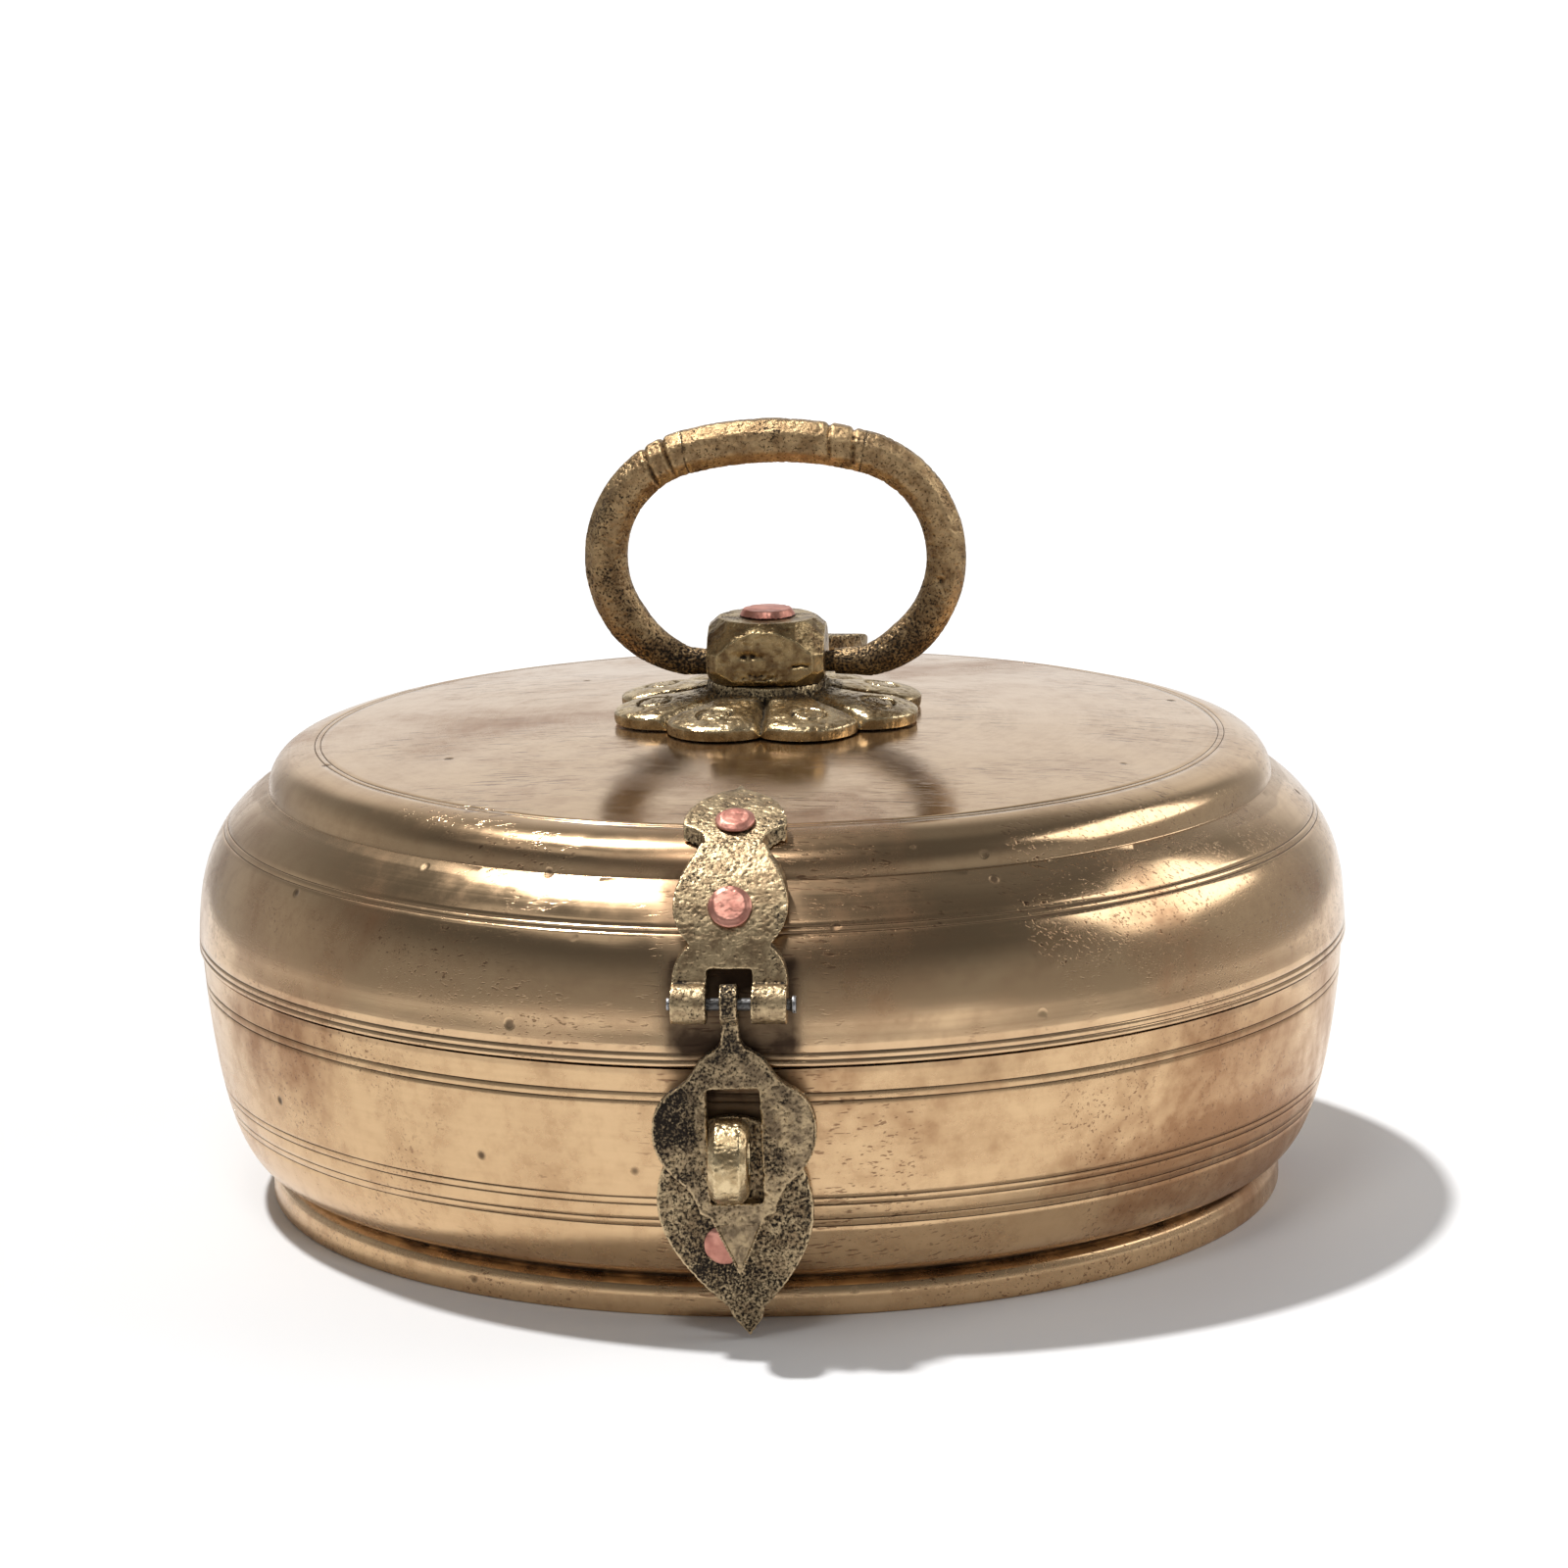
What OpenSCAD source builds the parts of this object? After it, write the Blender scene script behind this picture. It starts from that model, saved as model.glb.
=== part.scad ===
// Round brass spice box: a hinged, domed lid with a drop handle and a hasp and staple, and seven loose cups.
// Frame: origin at the centre of the foot, on the surface that the box stands on. +Z up, hasp at -Y, hinge at +Y.

/* [Box] */
// Outside diameter at the seam
box_d = 240; // [232:1:248]
// Thickness of the beaten sheet
wall_t = 1.7; // [1.4:0.1:2]
// Height of the base's rim above the ground
rim_z = 53.4; // [53:0.1:53.6]
// Gap between the base's rim and the lid's edge
seam_gap = 0.3; // [0.2:0.1:0.6]
// Height of the collar that stands up inside the lid
collar_h = 4.6; // [3:0.1:5]
// Width of the foot ring where it meets the ground
foot_w = 3.7; // [3:0.1:4.5]

/* [Lid] */
// Height of the lid's crown above the ground
crown_z = 99.8; // [99.2:0.1:100.4]
// Height of the rim of the lid's raised top
top_rim_z = 95.35; // [94.8:0.05:96]

/* [Handle] */
// Height of the handle's pivot
pivot_z = 110.2; // [110:0.1:110.8]
// Thickness of the handle's bar
bar_d = 9; // [7.6:0.1:9.2]
// Radius of the handle's two end arcs
end_arc_r = 22.8; // [22.4:0.1:23.2]
// Half the distance between the handle's two end arcs
end_arc_x = 12.5; // [12.2:0.1:12.9]
// Radius of the long arc at the handle's top
long_arc_r = 72; // [68:0.5:80]
// Thickness of the pegs that the handle turns on
peg_d = 4.4; // [3.6:0.1:4.6]
// Number of petals on the rosette
petals = 8; // [6:1:10]

/* [Hasp] */
// Thickness of the plates that hold the hasp and the hinge
plate_t = 3.6; // [3.2:0.1:3.7]
// Thickness of the hasp's leaf
hasp_t = 3; // [2.4:0.1:3.2]
// Thickness of the hasp's hinge pin and of the rear hinge pin
pin_d = 2.5; // [2:0.1:3]
// Outer radius of the staple's eye
eye_r = 8.2; // [7.6:0.1:8.3]
// Radius of the padlock hole in the staple's eye
eye_hole_r = 4.2; // [3.6:0.1:4.3]
// Width of the staple's eye
eye_w = 7.6; // [6:0.1:8.4]
// Diameter of the copper rivets' heads
rivet_head_d = 8; // [7:0.1:8.4]

/* [Cups] */
// Diameter of a cup's mouth
cup_d = 65.5; // [60:0.5:67]
// Height of a cup
cup_h = 26; // [20:0.5:26]
// Thickness of a cup's wall
cup_t = 1.1; // [0.8:0.1:1.4]
// Gap between neighbouring cups
cup_gap = 1.2; // [1:0.1:2]

/* [Hidden] */
$fn = 96;

// Clearances: a piece laid against a wall, a rivet in its hole, a pin in its bore, a cup on the floor.
lay_gap = 0.05;
rivet_gap = 0.05;
pin_gap = 0.06;
cup_rest_gap = 0.1;

brass = "#b5894a";
cast_brass = "#8f7434";
copper = "#b5705a";
steel = "#7d7d7f";

// ---- Curves ----

// A point on a cubic curve from a to d, with handles b and c.
function bez(k, t) = pow(1 - t, 3) * k[0] + 3 * pow(1 - t, 2) * t * k[1]
    + 3 * (1 - t) * t * t * k[2] + pow(t, 3) * k[3];
// The direction of travel there, as a unit vector.
function bez_dir(k, t) = let (
    v = pow(1 - t, 2) * (k[1] - k[0]) + 2 * (1 - t) * t * (k[2] - k[1]) + t * t * (k[3] - k[2])
) v / norm(v);
// A point moved off the curve, to the left of the direction of travel.
function bez_off(k, t, off) = bez(k, t) + off * [-bez_dir(k, t)[1], bez_dir(k, t)[0]];
// Points along the curve, moved off it, from t0 to t1 in n steps.
function along(k, n, off = 0, t0 = 0, t1 = 1) = [
    for (i = [0:n]) bez_off(k, t0 + (t1 - t0) * i / n, off)
];
// An outline of half widths, closed by its mirror image about the vertical axis.
function mirrored(half) = concat(half, [
    for (i = [len(half) - 1:-1:0]) if (abs(half[i][0]) > 0.001) [-half[i][0], half[i][1]]
]);

// ---- Turned profiles: radius, height ----

box_r = box_d / 2;
floor_z = 6;
floor_top_z = floor_z + wall_t;
lid_edge_z = rim_z + seam_gap;
bowl_edge_r = box_r - 16.8;
groove_r = box_r - 16;
groove_z = 7.6;

// The base's wall from the groove over the foot up to the rim.
base_wall = [
    [box_r - 12, 9.2], [box_r - 4.5, 13], [box_r - 1.5, 35], [box_r - 0.4, rim_z]
];
// The lid's wall from its edge up over the shoulder to the step.
lid_wall = [
    [box_r, lid_edge_z], [box_r + 0.2, 68], [box_r - 1.4, 78.5], [box_r - 15, 87]
];
// The raised top's side, from the step up to the rim of the dome.
top_side = [
    [box_r - 15.1, 87], [box_r - 15.4, 91.5], [box_r - 18.5, top_rim_z - 0.75], [box_r - 25, top_rim_z]
];
dome_r = box_r - 25;
function dome_z(r) = crown_z - (crown_z - top_rim_z) * pow(r / dome_r, 2);
function dome(n, drop) = [for (i = [0:n]) let (r = dome_r * (1 - i / n)) [r, dome_z(r) - drop]];

// Everything inside the base's outer wall, grown by g.
module base_envelope(g) {
    rotate_extrude()
        polygon(concat([[0, base_wall[0][1] - g]], along(base_wall, 14, -g), [[0, rim_z]]));
}

// Everything under the lid's outer face, grown by g.
module lid_envelope(g) {
    rotate_extrude()
        polygon(concat([[0, lid_edge_z]], along(lid_wall, 16, -g), along(top_side, 8, -g), dome(10, -g)));
}

// ---- Base ----

module base_bowl() {
    collar_r = box_r - 2.3;
    collar_t = 1.6;
    collar_top = rim_z + collar_h;
    collar_foot = rim_z - 4.4;
    hem = 0.5;
    outside = concat([[0, floor_z], [bowl_edge_r, floor_z], [groove_r, groove_z]], along(base_wall, 14));
    collar = [
        [collar_r, rim_z], [collar_r, collar_top - hem], [collar_r - hem, collar_top],
        [collar_r - collar_t + hem, collar_top], [collar_r - collar_t, collar_top - hem],
        [collar_r - collar_t, collar_foot]
    ];
    inside = concat(
        along(base_wall, 12, wall_t, 0.86, 0),
        [[groove_r - 0.6, groove_z + wall_t], [bowl_edge_r - 0.8, floor_top_z], [0, floor_top_z]]
    );
    color(brass) difference() {
        rotate_extrude() polygon(concat(outside, collar, inside));
        staple_tang(rivet_gap);
        staple_rivet_place() rivet_hole();
        hinge_base_rivet_places() rivet_hole();
    }
}

module foot_ring() {
    foot_r = box_r - 13.8;
    color(brass) rotate_extrude() polygon([
        [foot_r - foot_w, 0], [foot_r, 0], [foot_r, 0.9], [foot_r - 1.6, floor_z - 0.3],
        [foot_r - 1.9, floor_z], [foot_r - 4.2, floor_z]
    ]);
}

// ---- Rivets: the head's underside at the origin, the shank down -Z ----

rivet_d = 4.4;
rivet_head_h = 1.4;
tail_d = 7;
tail_h = 1.2;

module rivet(grip, head_d = rivet_head_d, head_h = rivet_head_h) {
    crown_d = head_d - 2.4;
    color(copper) {
        cylinder(d = head_d, h = head_h / 2);
        translate([0, 0, head_h / 2]) cylinder(d1 = head_d, d2 = crown_d, h = head_h / 2);
        translate([0, 0, -grip]) cylinder(d = rivet_d, h = grip);
        translate([0, 0, -grip - tail_h]) cylinder(d1 = tail_d - 2, d2 = tail_d, h = tail_h);
    }
}

module rivet_hole(depth = 16) {
    translate([0, 0, -depth]) cylinder(d = rivet_d + 2 * rivet_gap, h = depth + 4);
}

// ---- Staple and its plate, on the front of the base ----

staple_plate_top = 44.5;
staple_plate_tip = 0.6;
staple_plate_y = -(box_r + 1.1);
staple_plate_t = 2.5;
staple_plate_lean = 0.6;
eye_y = -(box_r + 9.4);
eye_z = 37.9;
tang_d = 4.6;
staple_rivet_z = 19;
staple_rivet_x = -1.9;

// Half outline of the plate: a leaf with a drawn-out tip.
function staple_leaf() = concat(
    along([[0, staple_plate_top], [9.5, staple_plate_top], [15.15, 34.5], [15.15, 26.5]], 10),
    along([[15.15, 26.5], [15.15, 18.5], [8.6, 11], [3.6, 6.4]], 8),
    [[2.9, 4.2], [0, staple_plate_tip]]
);

module staple_plate() {
    half_w = 16;
    color(cast_brass) difference() {
        intersection() {
            rotate([90, 0, 90]) linear_extrude(2 * half_w, center = true) polygon([
                [staple_plate_y, staple_plate_top], [staple_plate_y + staple_plate_lean, 0],
                [staple_plate_y + staple_plate_lean + staple_plate_t, 0],
                [staple_plate_y + staple_plate_t, staple_plate_top]
            ]);
            front_outline(mirrored(staple_leaf()));
        }
        base_envelope(lay_gap);
        staple_tang(rivet_gap);
        staple_rivet_place() rivet_hole();
    }
}

// Runs an outline of x and z right along Y through the front half, or the rear half, of the box.
module front_outline(points) {
    rotate([90, 0, 0]) linear_extrude(box_d) polygon(points);
}
module rear_outline(points) {
    rotate([90, 0, 180]) linear_extrude(box_d) polygon(points);
}

// The staple's tang, grown by g: it runs from the eye through the plate and the wall.
module staple_tang(g) {
    inner_y = -(box_r - 5);
    outer_y = staple_plate_y - 2;
    translate([0, outer_y, eye_z]) rotate([-90, 0, 0]) cylinder(d = tang_d + 2 * g, h = inner_y - outer_y);
}

module staple() {
    shoulder_y = staple_plate_y - 0.1;
    burr_y = -(box_r - 4.3);
    burr_d = 7.4;
    edge = 1.4;
    color(cast_brass) {
        difference() {
            union() {
                translate([0, eye_y, eye_z]) rotate([0, 90, 0]) rotate_extrude() polygon([
                    [0, -eye_w / 2], [eye_r - edge, -eye_w / 2], [eye_r, edge - eye_w / 2],
                    [eye_r, eye_w / 2 - edge], [eye_r - edge, eye_w / 2], [0, eye_w / 2]
                ]);
                staple_tang(0);
            }
            translate([0, eye_y, eye_z]) rotate([0, 90, 0])
                cylinder(r = eye_hole_r, h = 2 * eye_w, center = true);
            translate([-eye_w, shoulder_y, eye_z + tang_d / 2 + 0.2]) cube([2 * eye_w, 6, eye_r]);
            translate([-eye_w, shoulder_y, eye_z - tang_d / 2 - 0.2 - eye_r]) cube([2 * eye_w, 6, eye_r]);
        }
        translate([0, burr_y, eye_z]) rotate([-90, 0, 0]) cylinder(d1 = burr_d, d2 = burr_d - 2, h = 1.4);
    }
}

// The rivet at the foot of the plate stands square to the plate.
module staple_rivet_place() {
    face_y = staple_plate_y + staple_plate_lean * (1 - staple_rivet_z / staple_plate_top);
    lean_angle = atan2(staple_plate_lean, staple_plate_top);
    translate([staple_rivet_x, face_y, staple_rivet_z]) rotate([90 + lean_angle, 0, 0]) children();
}

// Its head is hammered flat, so that the hasp's tip hangs clear of it.
module staple_plate_rivet() {
    grip = 10;
    flat_head_h = 0.7;
    staple_rivet_place() rivet(grip, head_h = flat_head_h);
}

// ---- Lid ----

module lid_shell() {
    inner_edge = lid_wall[0] - [wall_t, 0];
    color(brass) difference() {
        rotate_extrude() polygon(concat(
            along(lid_wall, 16), along(top_side, 8), dome(10, 0),
            [for (i = [10:-1:0]) dome(10, wall_t)[i]],
            along(top_side, 8, wall_t, 0.98, 0), along(lid_wall, 16, wall_t, 1, 0.03), [inner_edge]
        ));
        hasp_rivet_places() rivet_hole();
        hinge_lid_rivet_places() rivet_hole();
        translate([0, 0, crown_z]) cylinder(d = handle_rivet_d + 2 * rivet_gap, h = 20, center = true);
    }
}

// ---- Handle: rosette, block, rivet, washer and ring ----

hub_r = 12.6;
hub_z = 106.8;
petal_reach = 33.2;
petal_tip_z = 102.2;
block_w = 24.5;
block_l = 24;
block_top = 120;
block_chamfer = 2.2;
handle_rivet_d = 6;
socket_end_x = 5.6;

module rosette() {
    petal_r = 11.5;
    petal_x = petal_reach - petal_r;
    step = 360 / petals;
    half_w = petal_x * tan(step / 2);
    mark_x = 25.2;
    mark_r = 3.2;
    groove_w = 1.6;
    shoulder = [15, 105];
    hub_foot_z = 105.4;
    below_z = 97;
    slope = atan2(shoulder[1] - petal_tip_z, petal_reach - shoulder[0]);
    mark_z = shoulder[1] - (mark_x - shoulder[0]) * tan(slope);
    color(cast_brass) difference() {
        intersection() {
            rotate_extrude() polygon(concat(
                [for (r = [0, 10, 20, petal_reach + 1]) [r, dome_z(r) + lay_gap]],
                [[petal_reach + 1, petal_tip_z - 0.2], shoulder],
                [[hub_r, hub_foot_z], [hub_r, hub_z], [0, hub_z]]
            ));
            union() for (i = [0:petals - 1]) rotate([0, 0, (i + 0.5) * step]) {
                translate([petal_x, 0, below_z]) cylinder(r = petal_r, h = 12);
                translate([0, -half_w, below_z]) cube([petal_x, 2 * half_w, 12]);
            }
        }
        // grooves between the petals
        for (i = [0:petals - 1]) rotate([0, 0, i * step]) translate([hub_r + 1, 0, hub_foot_z])
            rotate([0, slope, 0]) translate([0, -groove_w / 2, -1]) cube([petal_reach, groove_w, 4]);
        // a ring cut in each petal
        for (i = [0:petals - 1]) rotate([0, 0, (i + 0.5) * step]) translate([mark_x, 0, mark_z])
            rotate([0, slope, 0]) rotate_extrude() translate([mark_r, 0]) square([0.6, 1], center = true);
        translate([0, 0, crown_z]) cylinder(d = handle_rivet_d + 2 * rivet_gap, h = 20, center = true);
    }
}

// A rectangle with its four corners cut off.
module cut_corners(w, h, c) {
    polygon([
        [-w / 2 + c, -h / 2], [w / 2 - c, -h / 2], [w / 2, -h / 2 + c], [w / 2, h / 2 - c],
        [w / 2 - c, h / 2], [-w / 2 + c, h / 2], [-w / 2, h / 2 - c], [-w / 2, -h / 2 + c]
    ]);
}

module handle_block() {
    block_h = block_top - hub_z;
    mid_z = hub_z + block_h / 2;
    color(cast_brass) difference() {
        intersection() {
            translate([0, 0, hub_z]) linear_extrude(block_h) cut_corners(block_w, block_l, block_chamfer);
            translate([0, 0, mid_z]) rotate([90, 0, 0])
                linear_extrude(block_l, center = true) cut_corners(block_w, block_h, block_chamfer - 1);
            translate([0, 0, mid_z]) rotate([90, 0, 90])
                linear_extrude(block_w, center = true) cut_corners(block_l, block_h, block_chamfer - 1);
        }
        translate([0, 0, hub_z]) cylinder(d = handle_rivet_d + 2 * rivet_gap, h = 40, center = true);
        for (s = [-1, 1]) translate([s * socket_end_x, 0, pivot_z]) rotate([0, s * 90, 0])
            cylinder(d = peg_d + 2 * pin_gap, h = block_w);
    }
}

washer_top = crown_z - wall_t - 0.12;
washer_h = 1.2;

module handle_rivet() {
    head_d = 12;
    head_h = 1.6;
    tail_top = washer_top - washer_h;
    color(copper) {
        translate([0, 0, block_top]) cylinder(d1 = head_d, d2 = head_d - 2, h = head_h);
        translate([0, 0, tail_top]) cylinder(d = handle_rivet_d, h = block_top - tail_top);
        translate([0, 0, tail_top - 1.8]) cylinder(d1 = 7, d2 = 9.5, h = 1.8);
    }
}

module handle_washer() {
    washer_d = 18;
    color(brass) translate([0, 0, washer_top - washer_h]) difference() {
        cylinder(d = washer_d, h = washer_h);
        translate([0, 0, -1]) cylinder(d = handle_rivet_d + 2 * rivet_gap, h = washer_h + 2);
    }
}

// The ring lies in the XZ plane: a long arc on top and an arc at each side, whose lower ends taper to the block.
arc_shift = sqrt(pow(long_arc_r - end_arc_r, 2) - pow(end_arc_x, 2));
arc_join = atan2(arc_shift, end_arc_x);
ring_end_x = block_w / 2 + 1.5;
ring_mid_z = pivot_z + 22.1;
// angle below the middle, thickness
taper = [[44, bar_d - 0.1], [60, bar_d - 1.3], [74, bar_d - 2.7]];
ring_end_d = 5.4;

module bar_arc(x, z, r, from, to, d = bar_d) {
    translate([x, 0, z]) rotate([90, 0, 0]) rotate([0, 0, from])
        rotate_extrude(angle = to - from) translate([r, 0]) circle(d = d, $fn = 48);
}

// A tapered length of bar from point a, d1 thick, to point b, d2 thick, both in the XZ plane.
module bar_taper(a, b, d1, d2) {
    translate([a[0], 0, a[1]]) rotate([0, 90 - atan2(b[1] - a[1], b[0] - a[0]), 0])
        cylinder(d1 = d1, d2 = d2, h = norm(b - a));
}

module handle_ring() {
    // the end arcs are a hair thicker, and the long arc runs into them
    end_bar_d = bar_d + 0.1;
    knot_d = 0.12;
    lap = 1;
    at = concat(
        [for (t = taper) [end_arc_x + end_arc_r * cos(t[0]), ring_mid_z - end_arc_r * sin(t[0])]],
        [[ring_end_x, pivot_z]]
    );
    thick = concat([for (t = taper) t[1]], [ring_end_d]);
    color(cast_brass) {
        bar_arc(0, ring_mid_z - arc_shift, long_arc_r, arc_join - lap, 180 - arc_join + lap);
        for (s = [0, 1]) mirror([s, 0, 0]) {
            bar_arc(end_arc_x, ring_mid_z, end_arc_r, -taper[0][0] - lap, arc_join, end_bar_d);
            for (i = [0:2]) bar_taper(at[i], at[i + 1], thick[i], thick[i + 1]);
            for (i = [1, 2]) translate([at[i][0], 0, at[i][1]]) sphere(d = thick[i] + knot_d);
            translate([socket_end_x + 0.4, 0, pivot_z]) rotate([0, 90, 0])
                cylinder(d = peg_d, h = ring_end_x - socket_end_x + 1);
        }
    }
}

// ---- Plates that bridge the lid's step: distance out from the axis, height ----

bridge = [
    [box_r - 40, top_rim_z + 5.4], [box_r - 16, top_rim_z + 5.2], [box_r - 1, 88], [box_r + 1.8, 71.5]
];
bridge_split = box_r - 14.5;
hasp_pin_y = -(box_r + 3.5);
hasp_pin_z = 67;
knuckle_r = 3.9;
hasp_rivet_at = [0.31, 0.72];

// A place square to a plate whose face follows the curve k towards +Y, at t along it.
module square_to(k, t) {
    p = bez(k, t);
    v = bez_dir(k, t);
    translate([0, p[0], p[1]]) rotate([-atan2(-v[1], v[0]), 0, 0]) children();
}

module hasp_rivet_places() {
    mirror([0, 1, 0]) for (t = hasp_rivet_at) square_to(bridge, t) children();
}

module hasp_plate_rivets() {
    mirror([0, 1, 0]) {
        square_to(bridge, hasp_rivet_at[0]) rivet(5.6);
        square_to(bridge, hasp_rivet_at[1]) rivet(8.4, rivet_head_d + 0.6);
    }
}

// Half outline of the front plate's head, seen from above: x, distance out.
function hasp_head() = concat(
    [[0, bridge[0][0] + 0.5]],
    along([[1.2, bridge[0][0] + 4], [4, bridge[0][0] + 6], [8.5, bridge[0][0] + 10], [10, box_r - 22]], 6),
    along([[10, box_r - 19.5], [7.4, box_r - 18.6], [5.5, box_r - 17], [5.5, bridge_split]], 6)
);

// Half outline of its body and knuckles, seen from the front: x, height.
function hasp_body() = concat(
    along([[5.5, 96.5], [6.5, 92], [11.1, 90], [11.1, 84.5]], 6),
    along([[11.1, 84.5], [11.1, 81.5], [9.6, 79.5], [7.7, 77.6]], 5),
    along([[7.7, 77.6], [10, 76], [11.15, 73.5], [11.15, 70.5]], 5),
    [[11.15, 60], [0, 60]]
);

module hasp_plate() {
    wide = 24;
    notch_w = 8.4;
    notch_top = 73.2;
    color(cast_brass) difference() {
        mirror([0, 1, 0]) intersection() {
            union() {
                rotate([90, 0, 90]) linear_extrude(wide, center = true) polygon(concat(
                    along(bridge, 14), [[box_r + 2.4, hasp_pin_z], [box_r - 1.5, hasp_pin_z]],
                    along(bridge, 14, -plate_t, 1, 0)
                ));
                translate([0, -hasp_pin_y, hasp_pin_z]) rotate([0, 90, 0])
                    cylinder(r = knuckle_r, h = wide, center = true);
            }
            union() {
                translate([0, 0, 60]) linear_extrude(60) polygon(mirrored(hasp_head()));
                intersection() {
                    rear_outline(mirrored(hasp_body()));
                    translate([-wide / 2, bridge_split, 0]) cube([wide, 60, crown_z]);
                }
            }
        }
        lid_envelope(lay_gap);
        hasp_rivet_places() rivet_hole();
        translate([0, hasp_pin_y, hasp_pin_z]) rotate([0, 90, 0])
            cylinder(d = pin_d + 2 * rivet_gap, h = 2 * wide, center = true);
        translate([-notch_w / 2, hasp_pin_y - 2 * knuckle_r, notch_top - 20]) cube([notch_w, 4 * knuckle_r, 20]);
    }
}

module pin(y, z, length, d) {
    head_d = d + 0.9;
    head_h = 0.8;
    color(steel) translate([0, y, z]) rotate([0, 90, 0]) {
        cylinder(d = d, h = length, center = true);
        for (s = [-1, 1]) translate([0, 0, s * (length + head_h) / 2])
            cylinder(d = head_d, h = head_h, center = true);
    }
}

module hasp_pin() {
    pin(hasp_pin_y, hasp_pin_z, 24, pin_d);
}

// ---- Hasp: eye, neck and pierced leaf, hanging straight down from its pin ----

hasp_tip_z = 13.5;
slot_w = 10;
slot_bottom = 28.3;
slot_top = 50.6;

function hasp_leaf() = concat(
    [[1.75, 62], [1.9, 60], [2.7, 58.7], [4.7, 57.6]],
    along([[4.7, 57.6], [7.2, 56.2], [7.6, 52.6], [10.5, 51.2]], 5),
    along([[10.5, 51.2], [14.4, 49.4], [15.85, 46], [15.85, 42.4]], 6),
    along([[15.85, 42.4], [15.85, 38], [13.8, 35.2], [11.2, 32.8]], 6),
    along([[11.2, 32.8], [9, 31], [8, 29.4], [7.3, 26.1]], 5),
    [[5.4, 25.4], [0, hasp_tip_z]]
);

module hasp() {
    neck_w = 3.5;
    color(cast_brass) difference() {
        union() {
            intersection() {
                translate([-20, hasp_pin_y - hasp_t / 2, 0]) cube([40, hasp_t, 62]);
                front_outline(mirrored(hasp_leaf()));
            }
            translate([0, hasp_pin_y, hasp_pin_z]) rotate([0, 90, 0])
                cylinder(r = knuckle_r, h = neck_w, center = true);
            translate([-neck_w / 2, hasp_pin_y - hasp_t / 2, 60]) cube([neck_w, hasp_t, 5]);
        }
        translate([0, hasp_pin_y, hasp_pin_z]) rotate([0, 90, 0])
            cylinder(d = pin_d + 2 * pin_gap, h = 20, center = true);
        translate([-slot_w / 2, hasp_pin_y - hasp_t, slot_bottom])
            cube([slot_w, 2 * hasp_t, slot_top - slot_bottom]);
    }
}

// ---- Rear hinge ----

hinge_y = box_r + 4.2;
hinge_z = rim_z - 0.6;
hinge_knuckle_r = 3.6;
hinge_w = 29;
centre_knuckle_w = 10.8;
knuckle_gap = 0.2;
leaf_face_y = box_r + 2.5;
lid_leaf_face_y = leaf_face_y - 0.3;
open_angle = 110;
lid_leaf_bottom = lid_edge_z + 0.4;
hinge_lid_low_z = 64;
// The base leaf's outer face below the knuckle: distance out, height
base_leaf_face = [
    [leaf_face_y, 43], [leaf_face_y - 0.3, 33], [leaf_face_y - 1.8, 24], [leaf_face_y - 4.6, 13]
];
// where its two rivets stand along it, and how far their shanks run
hinge_base_rivet_at = [0.06, 0.55];
hinge_base_grip = [6.1, 6.9];

// The space on both sides of the middle, from inner to outer, that the lid's two knuckles take.
module outer_knuckle_span(inner, outer) {
    for (s = [-1, 1]) translate([s * (inner + outer) / 2, hinge_y, hinge_z])
        cube([outer - inner, 40, 60], center = true);
}

module hinge_barrel(w) {
    translate([0, hinge_y, hinge_z]) rotate([0, 90, 0]) cylinder(r = hinge_knuckle_r, h = w, center = true);
}

module hinge_bore(g) {
    translate([0, hinge_y, hinge_z]) rotate([0, 90, 0]) cylinder(d = pin_d + 2 * g, h = 60, center = true);
}

// The stop on the lid's knuckles: a lug that lies flat against the base leaf when the lid is open.
module stop_lug() {
    reach = 6.5;
    half_t = hinge_y - leaf_face_y - lay_gap;
    translate([0, hinge_y, hinge_z]) rotate([open_angle, 0, 0]) translate([-hinge_w / 2, -half_t, -reach])
        cube([hinge_w, 2 * half_t, reach - pin_d]);
}

module hinge_base_rivet_places() {
    for (t = hinge_base_rivet_at) square_to(base_leaf_face, t) children();
}

module hinge_base_rivets() {
    for (i = [0, 1]) square_to(base_leaf_face, hinge_base_rivet_at[i]) rivet(hinge_base_grip[i]);
}

function base_leaf_outline() = concat(
    [[hinge_w / 2, 70], [hinge_w / 2, 45]],
    along([[hinge_w / 2, 45], [hinge_w / 2, 40], [7, 39], [7, 35]], 6),
    along([[7, 35], [13, 31], [12, 23], [0, 14]], 8)
);

module hinge_base_leaf() {
    wide = 40;
    top_z = 50.2;
    color(cast_brass) difference() {
        intersection() {
            union() {
                rotate([90, 0, 90]) linear_extrude(wide, center = true) polygon(concat(
                    [[leaf_face_y - 4.5, top_z], [leaf_face_y, top_z]], along(base_leaf_face, 8),
                    [[leaf_face_y - 9, 13]]
                ));
                hinge_barrel(centre_knuckle_w);
                rotate([90, 0, 90]) linear_extrude(centre_knuckle_w, center = true) polygon([
                    [leaf_face_y - 4, 46], [leaf_face_y, 46], [hinge_y + 1.5, hinge_z - 3],
                    [hinge_y, hinge_z], [leaf_face_y - 2.7, hinge_z]
                ]);
            }
            rear_outline(mirrored(base_leaf_outline()));
        }
        base_envelope(lay_gap);
        // room for the lid's knuckles
        intersection() {
            outer_knuckle_span(centre_knuckle_w / 2, wide);
            translate([-wide, box_r - 5, hinge_z - 4.6]) cube([2 * wide, 20, 20]);
        }
        hinge_bore(rivet_gap);
        hinge_base_rivet_places() rivet_hole();
    }
}

module hinge_pin() {
    pin(hinge_y, hinge_z, hinge_w + 0.6, pin_d);
}

hinge_head_rivet_at = 0.3;

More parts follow.
